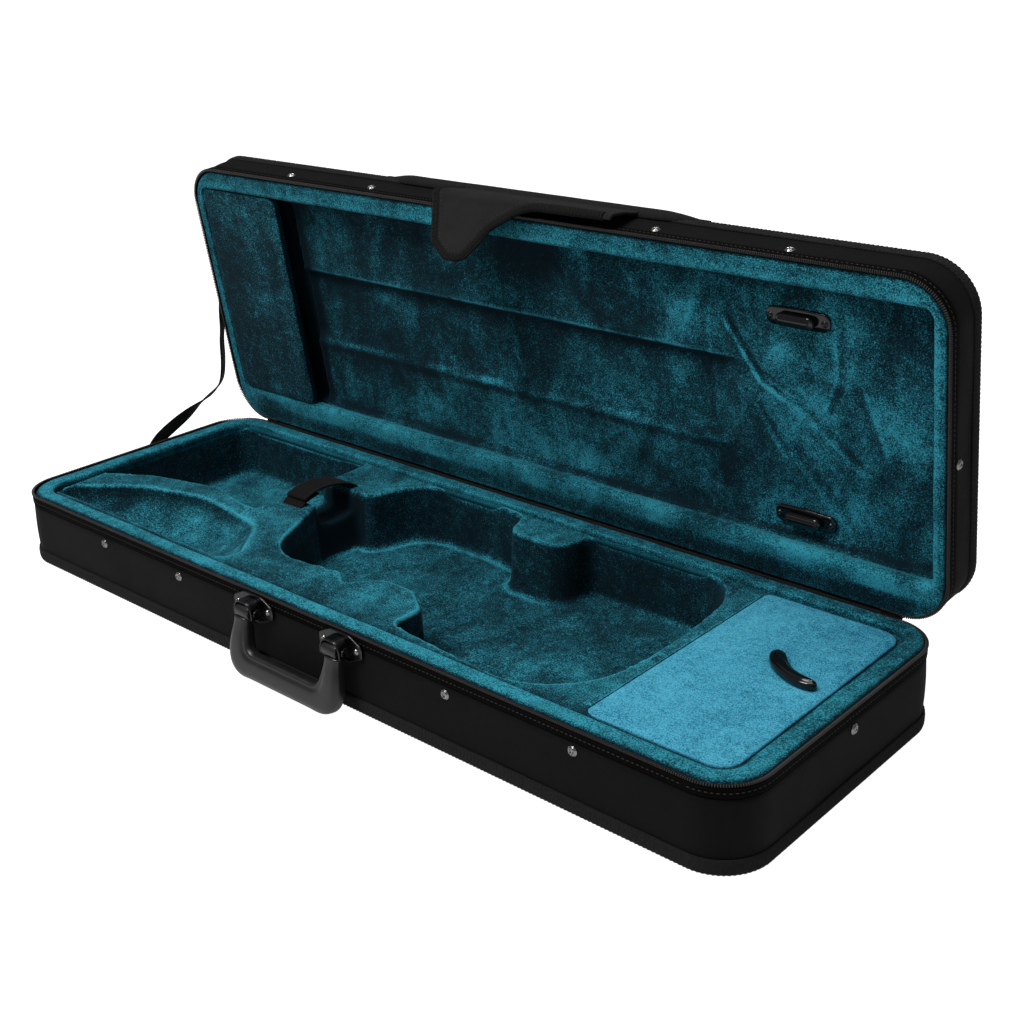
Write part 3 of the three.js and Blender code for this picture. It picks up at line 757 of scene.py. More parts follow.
def zip_coil(name, low, high, shift, place=STILL):
    """Moulded coil teeth, one every pitch, half a pitch apart on the two tapes."""
    pitch = 1.7
    route = zip_route()
    run = travelled(route)
    at = np.arange(2 + shift * pitch, run[-1] - 2, pitch)
    centres = sampled(at, run, route)
    ahead = sampled(at + 0.3, run, route) - centres
    ahead /= np.linalg.norm(ahead, axis=1, keepdims=True)
    side = to_right(ahead)
    corners = [(-1.35, -0.5), (-1.35, 0.5), (-0.9, 0.62), (1.0, 0.45), (1.3, 0), (1.0, -0.45), (-0.9, -0.62)]
    size = len(corners)
    points, faces = [], []
    tall = high - low
    for level, shrink in ((low, 0.85), (low + 0.3 * tall, 1), (low + 0.8 * tall, 1), (high, 0.7)):
        for out, forward in corners:
            place_2d = centres + side * out * shrink + ahead * forward * shrink
            points.append(np.column_stack([place_2d, np.full(len(centres), level)]))
    points = np.stack(points, 1).reshape(-1, 3)
    for n in range(len(centres)):
        first = n * size * 4
        for row in range(3):
            for q in range(size):
                r = (q + 1) % size
                a, b = first + row * size, first + (row + 1) * size
                faces.append([a + q, a + r, b + r, b + q])
        faces.append([first + q for q in range(size)][::-1])
        faces.append([first + 3 * size + q for q in range(size)])
    return to_object(name, points, faces, COIL, place)


put(zip_coil("base_zip_coil", BASE_HEIGHT - 1.5, BASE_HEIGHT - 0.1, 0), "base", "webbing")
put(zip_coil("lid_zip_coil", 1.5, 0.1, 0.5, LID), "lid", "webbing")


def edge_stitching(name, height, place=STILL):
    outline = case_outline(SEAM_INSET)
    closed = np.concatenate([outline, outline[:1]])
    normals = outward(outline)
    normals = at_height(np.concatenate([normals, normals[:1]]), 0)
    return stitches(name, at_height(closed, height), normals, place)


put(edge_stitching("base_tape_stitching", BASE_HEIGHT - SEAM_DROP), "base", "webbing")
put(edge_stitching("lid_tape_stitching", SEAM_DROP, LID), "lid", "webbing")


def set_tone(obj, values):
    """Gives each point of a velvet piece how much lighter or darker it is painted there, mostly painted light
    and shade.
    """
    tone = obj.data.attributes.new("tone", "FLOAT", "POINT")
    tone.data.foreach_set("value", np.asarray(values, float).ravel())


def points_of(obj, place=STILL):
    """The piece's points in millimetres, in the space that it was drawn in."""
    points = np.empty(3 * len(obj.data.vertices))
    obj.data.vertices.foreach_get("co", points)
    points = np.column_stack([points.reshape(-1, 3) / MM, np.ones(len(obj.data.vertices))])
    return (points @ np.array(place.inverted()).T)[:, :3]


# ---- padded velvet rims ----
PAD_EDGE = {"front": 3.3, "back": 1.3, "ends": 3.3}
OUTER_SHARE, INNER_SHARE = 0.3, 0.7
BACK_ROUNDING = 1.6


def rim_pad(name, rim, back, face, roll, tone, material, place=STILL, seed=5):
    """A padded velvet roll round an opening: rounded more on the outside, softly uneven. The tone of
    a ring, its painted light and shade, is given from its points and from how far across the roll it lies."""
    sign = 1 if face > back else -1
    deep = abs(face - back)
    profile = [(0.0, 0.0), (0.0, deep * 0.45)]
    for angle in np.radians(np.linspace(8, 90, 7)):
        profile.append((OUTER_SHARE * (1 - math.cos(angle)), deep * (0.45 + 0.55 * math.sin(angle))))
    profile += [(share, deep) for share in (0.4, 0.5, 0.6, 0.7)]
    for angle in np.radians(np.linspace(85, 5, 7)):
        profile.append((1 - 0.22 * (1 - math.cos(angle)), deep * (1 - roll) + deep * roll * math.sin(angle)))
    profile += [(1.0, 0.0), (0.66, 0.0), (0.33, 0.0)]
    rings, tones = [], []
    for share, rise in profile:
        inset = {side: PAD_EDGE[side] * (1 - share) + rim[side] * share for side in rim}
        if share <= OUTER_SHARE:
            inset["back"] = PAD_EDGE["back"] + BACK_ROUNDING * share / OUTER_SHARE
        else:
            level = rim["back"] - PAD_EDGE["back"] - BACK_ROUNDING
            inset["back"] = PAD_EDGE["back"] + BACK_ROUNDING + level * (share - OUTER_SHARE) / INNER_SHARE
        ring = ring_at(inset, back + sign * rise)
        tones.append(tone(ring, share if rise > 0.6 * deep or share < OUTER_SHARE else 1.0))
        if rise > 0:
            crown = math.sin(math.pi * share)
            ring[:, 2] -= sign * (0.28 * (1 + waves(ring, 46, seed)) * crown)
            push = 0.35 * waves(ring, 60, seed + 1) * (1 if share > 0.75 else 0)
            ring[:, :2] += outward(ring[:, :2]) * np.reshape(push, (-1, 1))
        rings.append(ring)
    padding = loft(name, rings, material, place, closed=True)
    set_tone(padding, tones)
    return padding


def base_rim_tone(ring, share):
    """Painted highlight along the front roll, painted shade where a roll turns down to the zip, a painted
    highlight line inside the back.
    """
    y = ring[:, 1]
    front = 1 - ease(y, -HALF_WIDTH + 24, -HALF_WIDTH + 60)
    back = ease(y, HALF_WIDTH - 40, HALF_WIDTH - 16)
    outside = -0.75 * (1 - ease(share, 0.02, 0.26)) * (1 - 0.6 * back)
    crest = (0.15 * front + 0.06 * (1 - back)) * ease(share, 0.15, 0.4) * (1 - ease(share, 0.86, 0.98))
    return outside + crest - 0.3 * front * ease(share, 0.93, 1.0) + 0.3 * back * ease(share, 0.84, 0.93)


def lid_rim_tone(ring, share):
    """Painted light on the inner half and painted shade on the outer edge; along the hinge side painted shade
    in the middle, below painted bright patches.
    """
    x, y, _ = ring.T
    back = ease(y, HALF_WIDTH - 44, HALF_WIDTH - 36)
    back = back * (1 - ease(np.abs(x), HALF_LENGTH - 40, HALF_LENGTH - 20))
    outside = -0.5 * (1 - ease(share, 0.0, 0.24)) * (1 - back)
    patches = 0.5 + 0.9 * waves(ring[:, :2], 70, 61)
    shade = 0.38 * ease(share, 0.26, 0.36) * (1 - ease(share, 0.56, 0.66))
    sill = 0.30 * patches * ease(share, 0.6, 0.68) - shade
    right = ease(x, HALF_LENGTH - 50, HALF_LENGTH - 30) * (1 - back)
    crest = (0.14 + 0.16 * right) * ease(share, 0.4, 0.75) + 0.25 * right * ease(share, 0.84, 0.93)
    return outside + (1 - back) * crest + back * sill


base_rim = rim_pad("base_rim_roll", BASE_RIM, BASE_HEIGHT - TAPE_HEIGHT, BASE_HEIGHT - 0.3, 0.55,
                   base_rim_tone, RIM_VELVET)
put(base_rim, "base", "velvet", "base_rim_pad")
lid_rim = rim_pad("lid_rim_roll", LID_RIM, TAPE_HEIGHT, 0.3, 0.5, lid_rim_tone, LID_RIM_VELVET, LID, 8)
put(lid_rim, "lid", "velvet", "lid_rim_pad")

# ---- foam insert ----
BODY_CAVITY = rounded([
    (-150, 18, 6), (-110, -66, 45), (-30, -59, 8), (-15, -71, 7), (8, -45, 12), (38, -45, 14),
    (66, -64, 10), (66, -94, 7), (228, -108, 70), (247, -8, 60), (232, 118, 50), (82, 118, 9),
    (78, 82, 18), (20, 82, 18), (9, 112, 6), (-32, 118, 20), (-110, 118, 45), (-130, 62, 8),
    (-150, 64, 4)])
SCROLL_RECESS = rounded([
    (-374, -52, 3), (-334, -24, 60), (-258, -5, 50), (-212, -16, 12), (-191, -16, 5),
    (-191, 118, 6), (-374, 118, 18)])
FRONT_POCKET = rounded([
    (-374, -102, 3), (-371, -84, 6), (-318, -47, 50), (-250, -28, 60), (-160, -40, 40),
    (-114, -102, 14)])
RIM_LINE = within(BASE_RIM, 0.5, 16)


def walled(inside, top, floor, lean=1.6):
    """A steep cut wall from the top down to a floor, just inside an outline."""
    return top + (floor - top) * ease(inside, -0.6, lean)


def insert_surface(points):
    x, y = points.T
    top = INSERT_TOP + 0.35 * waves(points, 70, 11)
    height = np.where(distance(points, RIM_LINE) > -1.5, top, BASE_HEIGHT - TAPE_HEIGHT - 0.8)
    fine = waves(points, 55, 12)

    inside = distance(points, BODY_CAVITY)
    floor = CAVITY_FLOOR + 0.4 * (1 + fine) + 1.2 * (1 - ease(inside, 0, 6))
    height = np.minimum(height, walled(inside, height, floor))

    inside = distance(points, SCROLL_RECESS)
    ramp = (NECK_SADDLE - SCROLL_FLOOR) * ease(x, -246, -198)
    floor = SCROLL_FLOOR + ramp + 0.5 * (1 + fine) + 1.5 * (1 - ease(inside, 0, 8))
    height = np.minimum(height, walled(inside, height, floor, 2.5))

    inside = distance(points, FRONT_POCKET)
    rim_side = ease(-y, 30, 96)
    scoop = 31 * (1 - np.exp(-np.maximum(inside, 0) / 13)) * (0.6 + 0.4 * rim_side)
    scoop = scoop * (1 - 0.55 * ease(x, -235, -130))
    steep = 7 * ease(inside, -0.6, 2.5) * (1 - 0.8 * ease(x, -215, -150))
    height = np.minimum(height, top - scoop - steep)

    neck = distance(points, rectangle(-200, -140, 20, 63, 3))
    saddle = NECK_SADDLE + 3 * (np.abs(y - NECK["y"]) / 21) ** 2
    height = np.minimum(height, walled(neck, height, saddle, 2.5))

    well = distance(points, rectangle(COMPARTMENT["left"] + 5, COMPARTMENT["right"] - 5,
                                      COMPARTMENT["front"] + 5, COMPARTMENT["back"] - 5, 12))
    height = np.minimum(height, walled(well, height, CAVITY_FLOOR + 2.4))
    seat = distance(points, rectangle(COMPARTMENT["left"] - 2, COMPARTMENT["right"] + 0.8,
                                      COMPARTMENT["front"] - 0.8, COMPARTMENT["back"] + 0.8, 17))
    height = np.minimum(height, walled(seat, height, INSERT_TOP - 4.4, 0.9))
    for outline in (BODY_CAVITY, SCROLL_RECESS):
        height = height + 0.8 * bell((distance(points, outline) + 1.6) / 1.5)
    return height


def insert_tone(obj):
    """Painted highlights along the cut edges; painted shade beside the front roll, on the body's floor,
    under the near walls and in the neck slot; a painted highlight on a fold along the far foot of the body's
    wall."""
    points = points_of(obj)
    x, y, z = points.T
    tone = np.zeros(len(points))
    high = np.flatnonzero(z > INSERT_TOP - 3.4)
    near_side = 1 - ease(y[high], -35, 10)
    # Painted highlights along the cut edges.
    edges = ((BODY_CAVITY, 1, 1.3), (SCROLL_RECESS, 1, 1.3), (FRONT_POCKET, 0.5, 1.6))
    for outline, strength, width in edges:
        off = (np.abs(distance(points[high, :2], outline)) + 0.4) / (width + 1.6 * near_side)
        bright = strength * (0.45 + 0.4 * near_side)
        tone[high] = np.maximum(tone[high], bright * bell(off))
    # Painted shadow beside the front roll.
    beside = distance(points[high, :2], RIM_LINE)
    tone[high] -= 0.45 * np.exp(-np.maximum(beside, 0) / 9) * (1 - ease(y[high], -95, -65))
    # Painted shade on the body's floor, most under the near walls.
    low = np.flatnonzero((z > BOARD + 1) & (z < INSERT_TOP - 20))
    inside = distance(points[low, :2], BODY_CAVITY)
    near = (1 - ease(y[low], -40, 20)) * (inside > 0)
    tone[low] -= 0.5 * np.exp(-np.maximum(inside - 2, 0) / 12) * near + 0.1 * ease(inside, 2, 8)
    # Painted highlight on the fold along the far foot of the wall.
    foot = bell((inside - 6.5) / 2.2) * ease(y[low], 20, 60) * (1 - ease(x[low], 40, 80))
    tone[low] += 0.4 * foot * (z[low] < 14)
    # Painted shade in the neck slot.
    slot = ease(x, -192, -180) * (1 - ease(x, -142, -136)) * (np.abs(y - NECK["y"]) < 25)
    tone -= 0.8 * slot * (z < INSERT_TOP - 6) * (z > BOARD + 4)
    set_tone(obj, tone)


insert = relief("velvet_insert", BOARD + 0.2, insert_surface, INSERT_VELVET, voxel=1.9)
insert_tone(insert)
put(insert, "base", "velvet", "foam_insert")


# ---- neck strap ----
def neck_strap():
    middle, width = NECK["x"], 25
    tab = smooth_path([(middle, 5, 57), (middle, 8, 61.5), (middle, 16, 65.2), (middle, 28, 67.6)], 16)
    piece = strap("neck_strap_lower", tab, (1, 0, 0), width, 1.5, STRAP)
    put(piece, "base", "webbing", "neck_strap_tab")
    route = [(middle, 74, 57), (middle, 71.5, 61), (middle, 64, 65), (middle, 52, 69), (middle, 36, 71.2),
             (middle, 21, 69.6), (middle, 11, 66.0)]
    piece = strap("neck_strap_upper", smooth_path(route, 36), (1, 0, 0), width, 1.9, STRAP)
    put(piece, "neck_strap_flap", "webbing", "neck_strap_flap")
    for side in (-1, 1):
        line = smooth_path(route, 60) + np.array([side * 10.2, 0, 1.0])
        row = stitches(f"neck_strap_stitching_{'left' if side < 0 else 'right'}", line, (0, 0, 1))
        put(row, "neck_strap_flap", "webbing")


neck_strap()


# ---- accessory compartment ----
def compartment():
    left, right = COMPARTMENT["left"], COMPARTMENT["right"]
    front, back = COMPARTMENT["front"], COMPARTMENT["back"]
    outline = rounded([(left, front, 7), (right, front, 16), (right, back, 16), (left, back, 7)], 2)
    board = slab("compartment_board", outline, INSERT_TOP - 3.5, INSERT_TOP + 0.2, 1.7, BLUE_VELVET,
                 crown=0.5, reach=4.5)
    put(board, "compartment_lid", "blue_velvet", "compartment_lid")

    strip_width, from_end = 10.2, 8
    across = np.linspace(-strip_width, 0, 9)
    x, y = np.meshgrid(left + across, np.linspace(front + from_end, back - from_end, 100))
    grid = np.stack([x, y], -1)
    face = INSERT_TOP + 0.3 + 0.1 * waves(grid, 30, 21) - 0.8 * (1 - ease(across, -strip_width, -5))
    under = np.full_like(x, INSERT_TOP - 0.6)
    cloth = sheet_solid("compartment_hinge_strip", np.dstack([grid, face]), np.dstack([grid, under]),
                        INSERT_VELVET)
    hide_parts("compartment_hinge_cloth")
    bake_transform(cloth)

    centre, arc_radius, half_width = np.array([354, 53]), 42, 7
    first, last = math.radians(208), math.radians(274)
    share = np.linspace(0, 1, 46)
    angles = first + (last - first) * (share * 1.16 - 0.08)
    ends = np.sqrt(1 - np.abs(2 * share - 1) ** 5)
    width = (half_width - 1.7 * ease(share, 0, 0.6)) * ends
    ray = np.stack([np.cos(angles), np.sin(angles)], 1)
    bean = np.concatenate([centre + ray * (arc_radius + width)[:, None],
                           (centre + ray * (arc_radius - width)[:, None])[-2:0:-1]])
    knob = slab("compartment_knob_bean", bean, INSERT_TOP + 0.8, INSERT_TOP + 7.0, 2.2, GLOSS_PLASTIC,
                crown=1.2, reach=2.2, steps=6)
    put(knob, "compartment_lid", "black_plastic", "compartment_knob")


compartment()


# ---- rivets and screws ----
def stud(name, place, material, radius, height, slot_width=0.6, turn=0.0, recess=0.6):
    """A domed head on a thin flange, with a cross recess cut into it."""
    side = np.linspace(-1, 1, 27)
    u, v = [a.ravel() for a in np.meshgrid(side, side)]
    x, y = u * np.sqrt(1 - v * v / 2), v * np.sqrt(1 - u * u / 2)
    r = np.hypot(x, y)
    flange = 0.22 * height
    dome = flange + (height - flange) * np.sqrt(np.clip(1 - (r / 0.86) ** 2, 0, 1)) ** 0.9
    dome = np.where(r > 0.86, flange * (1 - 0.8 * ease(r, 0.93, 1.0)), dome)
    c, s = math.cos(turn), math.sin(turn)
    p, q = np.abs(c * x + s * y) * radius, np.abs(c * y - s * x) * radius
    cross = np.minimum(np.where(q < 0.55 * radius, p, 9), np.where(p < 0.55 * radius, q, 9))
    dome -= recess * height * (1 - ease(cross, slot_width * 0.6, slot_width * 1.5))
    points = np.column_stack([x * radius, y * radius, np.maximum(dome, 0.05)])
    faces = grid_faces(len(side), len(side)).tolist()
    rim = grid_rim(len(side), len(side))
    base = points[rim] * np.array([1, 1, 0])
    first = len(points)
    ring = np.arange(len(rim))
    after = np.roll(ring, -1)
    faces += np.stack([rim[after], rim[ring], first + ring, first + after], 1).tolist()
    faces.append((first + ring)[::-1].tolist())
    return to_object(name, np.concatenate([points, base]), faces, material, place)


def wall_place(x, y, z, turn):
    """A seat on a wall that faces a direction given by a turn about Z from the handle side."""
    return moved(x, y, z) @ turned(turn, "Z") @ turned(90, "X")


def wall_rivets(body, place):
    wall = 1.1
    spots = [(f"{body}_front_rivet_{i + 1}", x, -HALF_WIDTH + wall, 0) for i, x in enumerate(RIVET_X)]
    spots += [(f"{body}_right_rivet", HALF_LENGTH - wall, 4, 90),
              (f"{body}_left_rivet", -HALF_LENGTH + wall, 4, -90)]
    for i, (node, x, y, turn) in enumerate(spots):
        seat = place @ wall_place(x, y, RIVET_HEIGHT[body], turn)
        put(stud(f"{node}_head", seat, NICKEL, 3.9, 1.8, turn=0.5 + i), body, "nickel", node)


wall_rivets("base", STILL)
wall_rivets("lid", LID)


# ---- carrying handle ----
def handle():
    span, drop = HANDLE["half_span"], HANDLE["drop"]
    pivot = moved(0, HANDLE["pivot_y"], HANDLE["pivot_z"]) @ turned(-HANDLE["lean"], "X")
    centre, foot, bend = span + 2.2, -drop + 9.5, 20
    spine = rounded([(-centre, 40, 1), (-centre, foot, bend), (centre, foot, bend), (centre, 40, 1)], 1.2)
    spine = spine[spine[:, 1] < -5]
    start = np.argmax(np.linalg.norm(np.diff(spine, axis=0, append=spine[:1]), axis=1)) + 1
    spine = np.roll(spine, -start, 0)
    side = to_right(directions(spine))
    if (side[0] @ spine[0]) < 0:
        side = -side
    angles = np.linspace(0, 2 * math.pi, 40, endpoint=False)
    u = np.sign(np.cos(angles)) * np.abs(np.cos(angles)) ** 0.62
    v = np.sign(np.sin(angles)) * np.abs(np.sin(angles)) ** 0.55
    rings = []
    for at, out in zip(spine, side):
        low = ease(-at[1], 8, 26)
        wide, deep = 7.6 + 2.6 * low, 5.6 + 0.9 * low
        lip = 0.9 * bell((u + 0.62) / 0.13) * low + 0.5 * bell((u - 0.80) / 0.1) * low
        square = 5.5 * (2 * abs(out[0] * out[1])) ** 2
        across, through = wide * u + square * (u + 1) / 2, (deep - lip) * v
        rings.append(np.column_stack([at[0] + out[0] * across, -through, at[1] + out[1] * across]))
    grip = loft("handle_bail", rings, SATIN_PLASTIC, pivot)
    put(grip, "handle", "black_plastic", "handle_grip")
    eye_radius, pin_radius, eye_reach, pin_reach = 6.2, 2.5, 7.6, 11.6
    for side_name, x in (("left", -span), ("right", span)):
        seat = pivot @ (moved(x, 0, 0) @ turned(90, "Y"))
        circle = rectangle(-eye_radius, eye_radius, -eye_radius, eye_radius, 6.19, 1)
        eye = slab(f"handle_eye_{side_name}", circle, -eye_reach, eye_reach, 1.2, SATIN_PLASTIC, seat)
        put(eye, "handle", "black_plastic")
        small = circle * pin_radius / eye_radius
        pin = slab(f"handle_pin_{side_name}", small, -pin_reach, pin_reach, 0.7, BLACK_NICKEL, seat)
        put(pin, "handle", "gunmetal")
        bracket(side_name, x)


def bracket(side_name, x):
    """A stamped arch: a plate with three rivets and a hood over the handle's eye."""
    wall_y = -HALF_WIDTH + TAPE_INSET - 0.3
    seat = moved(x, wall_y, HANDLE["pivot_z"]) @ turned(90, "X")
    plate_outline = rounded([(-23, -4, 3), (-8, -11, 4), (8, -11, 4), (23, -4, 3), (23, 5, 4), (10, 11.5, 8),
                             (-10, 11.5, 8), (-23, 5, 4)], 1)
    plate = slab(f"bracket_plate_{side_name}", plate_outline, 0, 2.2, 0.7, BLACK_NICKEL, seat)
    node = f"handle_bracket_{side_name}"
    put(plate, "base", "gunmetal", node)
    arch = []
    for angle in np.linspace(0, math.pi, 25):
        u, v = math.cos(angle), math.sin(angle)
        arch.append((10.2 * np.sign(u) * abs(u) ** 0.6, -4.5 + 13.2 * v ** 0.8))
    arch = smooth_path(arch, 40)
    section = band_section(11.0, 1.5)
    rings = [np.column_stack([at + out * section[:, 1:], 7.4 + section[:, 0]])
             for at, out in zip(arch, to_right(directions(arch)))]
    hood = loft(f"bracket_hood_{side_name}", rings, BLACK_NICKEL, seat)
    put(hood, "base", "gunmetal")
    for i, (dx, dz) in enumerate([(-17.5, 1), (0, -7.6), (17.5, 1)]):
        place = wall_place(x + dx, wall_y - 2.2, HANDLE["pivot_z"] + dz, 0)
        head = stud(f"{node}_rivet_{i + 1}_head", place, NICKEL, 2.5, 1.6, slot_width=0.1, recess=0.0)
        put(head, "base", "nickel", f"{node}_rivet_{i + 1}")


handle()


# ---- zip sliders ----
def zip_slider(side_name, sign):
    upright = moved(sign * ZIP_END, HALF_WIDTH - 0.5, 56) @ turned(-90, "X")
    outline = rounded([(-7, -4, 2.5), (-2, -3.2, 3), (7, -4, 2.5),
                       (7, 4, 2.5), (-2, 3.2, 3), (-7, 4, 2.5)], 0.8)
    lower = slab(f"slider_body_{side_name}", outline, 0, 4.1, 1.1, BLACK_NICKEL, upright)
    put(lower, f"zip_slider_{side_name}", "gunmetal", f"zip_slider_{side_name}")
    loop = smooth_path([(0, 3.0, 3.6), (0, 3.1, 7.2), (0, 1.2, 8.2), (0, -1.4, 8.0), (0, -3.2, 6.4),
                        (0, -3.2, 3.6)], 24)
    bridge = strap(f"slider_bridge_{side_name}", loop, (1, 0, 0), 3.6, 1.2, BLACK_NICKEL, upright)
    put(bridge, f"zip_slider_{side_name}", "gunmetal")
    outer = rounded([(-4, -0.9, 1.5), (4, -0.9, 1.5), (4, 26, 3.8), (-4, 26, 3.8)], 0.8)
    hole = rectangle(-2.3, 2.3, 0.7, 5.2, 1.2, 0.8)
    middle, low, high = 3, 0.2, 1.0
    hole = hole[np.argsort(np.arctan2(hole[:, 1] - middle, hole[:, 0]))]
    around = np.arctan2(hole[:, 1] - middle, hole[:, 0])
    want = np.arctan2(outer[:, 1] - middle, outer[:, 0])
    inner = np.stack([np.interp(want, around, hole[:, k], period=2 * math.pi) for k in (0, 1)], 1)
    rings = [at_height(ring, z) for ring, z in ((outer, low), (outer, high), (inner, high), (inner, low))]
    pull = loft(f"zip_pull_tab_{side_name}", rings, BLACK_NICKEL, upright @ moved(0, 0, 5.1), closed=True)
    bevel = pull.modifiers.new("edges", "BEVEL")
    bevel.width = 0.25 * MM
    bevel.segments = 2
    apply_modifiers(pull)
    put(pull, f"zip_pull_{side_name}", "gunmetal", f"zip_pull_{side_name}")


zip_slider("left", -1)
zip_slider("right", 1)

# ---- lid lining and bow-tip panel ----
LINING_RECESS = within(LID_RIM, 0, 12, left=BOW_SLOT[1] - 10)
BOW_POCKET = within(LID_RIM, 0, 3, right=BOW_SLOT[1] - 9)
# Each crease is an open line, its height and its width; each patch is a middle (x, y), a
# reach each way and how much lighter it is painted. The dark patch at (30, -90) is the flap's painted shadow.
CREASES = [
    ([(209, -64), (236, -24), (252, -16)], 2.6, 3.2),
    ([(240, -27), (264, -18)], 1.3, 2.8),
    ([(300, -65), (301, -37), (292, -15)], 1.3, 4.5),
    ([(232, -3), (252, 28)], 0.9, 4.0),
    ([(268, -8), (313, 27)], 1.0, 5.0),
    ([(335, 12), (319, -30)], 1.2, 6.0),
    ([(188, 14), (190, -74)], 0.5, 6.0),
    ([(262, 30), (300, 74)], 0.7, 7.0),
]
LIGHTER_AND_DARKER_PATCHES = [
    (175, -67, 24, 18, 0.30), (252, -48, 16, 12, 0.22), (128, -22, 34, 15, 0.22), (60, 88, 80, 12, 0.25),
    (-110, 78, 60, 20, 0.12), (330, -10, 30, 45, 0.16), (30, -90, 26, 24, -0.45), (205, 52, 26, 22, -0.30),
]


def fold(points, route):
    """Each point's distance to one side of an open line, and how fully it lies beside the line."""
    route = np.array(route, float)
    best, across, past = np.full(len(points), 1e9), np.zeros(len(points)), np.zeros(len(points))
    for a, b in zip(route[:-1], route[1:]):
        length = np.linalg.norm(b - a)
        way = (b - a) / length
        along = (points - a) @ way
        side = (points - a) @ np.array([-way[1], way[0]])
        beyond = np.maximum(np.maximum(-along, along - length), 0)
        gap = np.hypot(side, beyond)
        closer = gap < best
        best = np.where(closer, gap, best)
        across = np.where(closer, side, across)
        past = np.where(closer, beyond, past)
    return across, bell(past / 7)


def channel_run(x, y, start):
    """1 along the sunk channel, falling to 0 at its slanting right end."""
    return 1 - ease(x + 0.12 * (y + 36), start, 226)


def lining_surface(points):
    x, y = points.T
    depth = np.full(len(points), TAPE_HEIGHT + 0.5)
    soft = 0.5 * waves(points, 120, 31) + 0.25 * waves(points, 45, 32)
    loose = ease(x, 120, 260)
    inside = distance(points, LINING_RECESS)
    floor = LINING_DEPTH - 0.8 + soft * (0.6 + 0.9 * loose) - 3.5 * (1 - ease(inside, 0, 7))
    upper_step = ease(y, -37.5, -34.5)
    lower_step = 1 - ease(y, 22, 36)
    run = channel_run(x, y, 196)
    floor = floor + (CHANNEL_DEPTH + 1 - LINING_DEPTH) * upper_step * lower_step * run
    floor = floor - 2.2 * bell((y - 35) / 6.0) * run - 1.6 * bell((y + 40.5) / 3.0) * run
    for route, deep, wide in CREASES:
        off, beside = fold(points, route)
        floor = floor - 1.5 * deep * beside * off / wide * bell(off / wide)
    depth = np.maximum(depth, walled(inside, depth, floor, 2.2))
    pocket = distance(points, BOW_POCKET)
    return np.maximum(depth, walled(pocket, depth, CHANNEL_DEPTH + 1, 2.0))


def lining_tone(obj):
    """A lit lip over the channel with shade under it, a lit ridge below, creases with bright tops,
    and shade in the bow slot and under the rims."""
    points = points_of(obj, LID)
    x, y, depth = points.T
    sunk = (depth > TAPE_HEIGHT + 5) & (depth < LID_DEPTH - BOARD - 5)
    flat = points[:, :2]
    run = channel_run(x, y, 190)
    tone = 0.5 * bell((y + 38.6) / 1.5) * run
    tone -= 0.6 * np.exp(-np.maximum(y + 35.5, 0) / 9) * ease(y, -37, -35) * run
    patches = 0.6 + 0.5 * waves(flat, 60, 62)
    tone += 0.42 * bell((y - 32) / 2.8) * run * patches
    tone -= 0.25 * bell((y - 38) / 4) * run
    for route, deep, wide in CREASES:
        off, beside = fold(flat, route)
        strength = (0.12 + 0.16 * deep) * beside
        tone += strength * bell((off - 0.4 * wide) / 1.6)
        tone -= 0.8 * strength * bell((off + 0.6 * wide) / (0.6 * wide))
    for middle_x, middle_y, reach_x, reach_y, change in LIGHTER_AND_DARKER_PATCHES:
        tone += change * np.exp(-((x - middle_x) / reach_x) ** 2 - ((y - middle_y) / reach_y) ** 2)
    inside = distance(flat[sunk], LINING_RECESS)
    shade = np.zeros(len(points))
    shade[sunk] = 0.45 * np.exp(-np.maximum(inside, 0) / 5)
    tone = (tone - shade) * sunk - 1.0 * (1 - ease(x, -270, -258)) * (depth > TAPE_HEIGHT + 1)
    set_tone(obj, tone)


lining = relief("velvet_lining", LID_DEPTH - BOARD - 0.6, lining_surface, LINING_VELVET, LID, 2.1, 4)
lining_tone(lining)
put(lining, "lid", "velvet", "lid_lining")


def into_lid(x, y, d):
    """A seat in the lid that faces down out of it."""
    return LID @ moved(x, y, d) @ Matrix.Scale(-1, 4, (0, 0, 1))


def bow_tip_panel():
    outline = within(LID_RIM, 0.2, 9, right=BOW_SLOT[0], step=2.5)
    panel = slab("bow_tip_cover", outline, 0, 6.9, 1.8, PANEL_VELVET, into_lid(0, 0, 8), crown=0.7, reach=5)
    x, y, _ = points_of(panel, LID).T
    shade = -0.30 + 0.12 * ease(x, BOW_SLOT[0] - 26, BOW_SLOT[0] - 4) + 0.14 * (1 - ease(y, -90, 0))
    set_tone(panel, shade + 0.12 * ease(y, 70, 120))
    put(panel, "lid", "velvet", "bow_tip_panel")


bow_tip_panel()


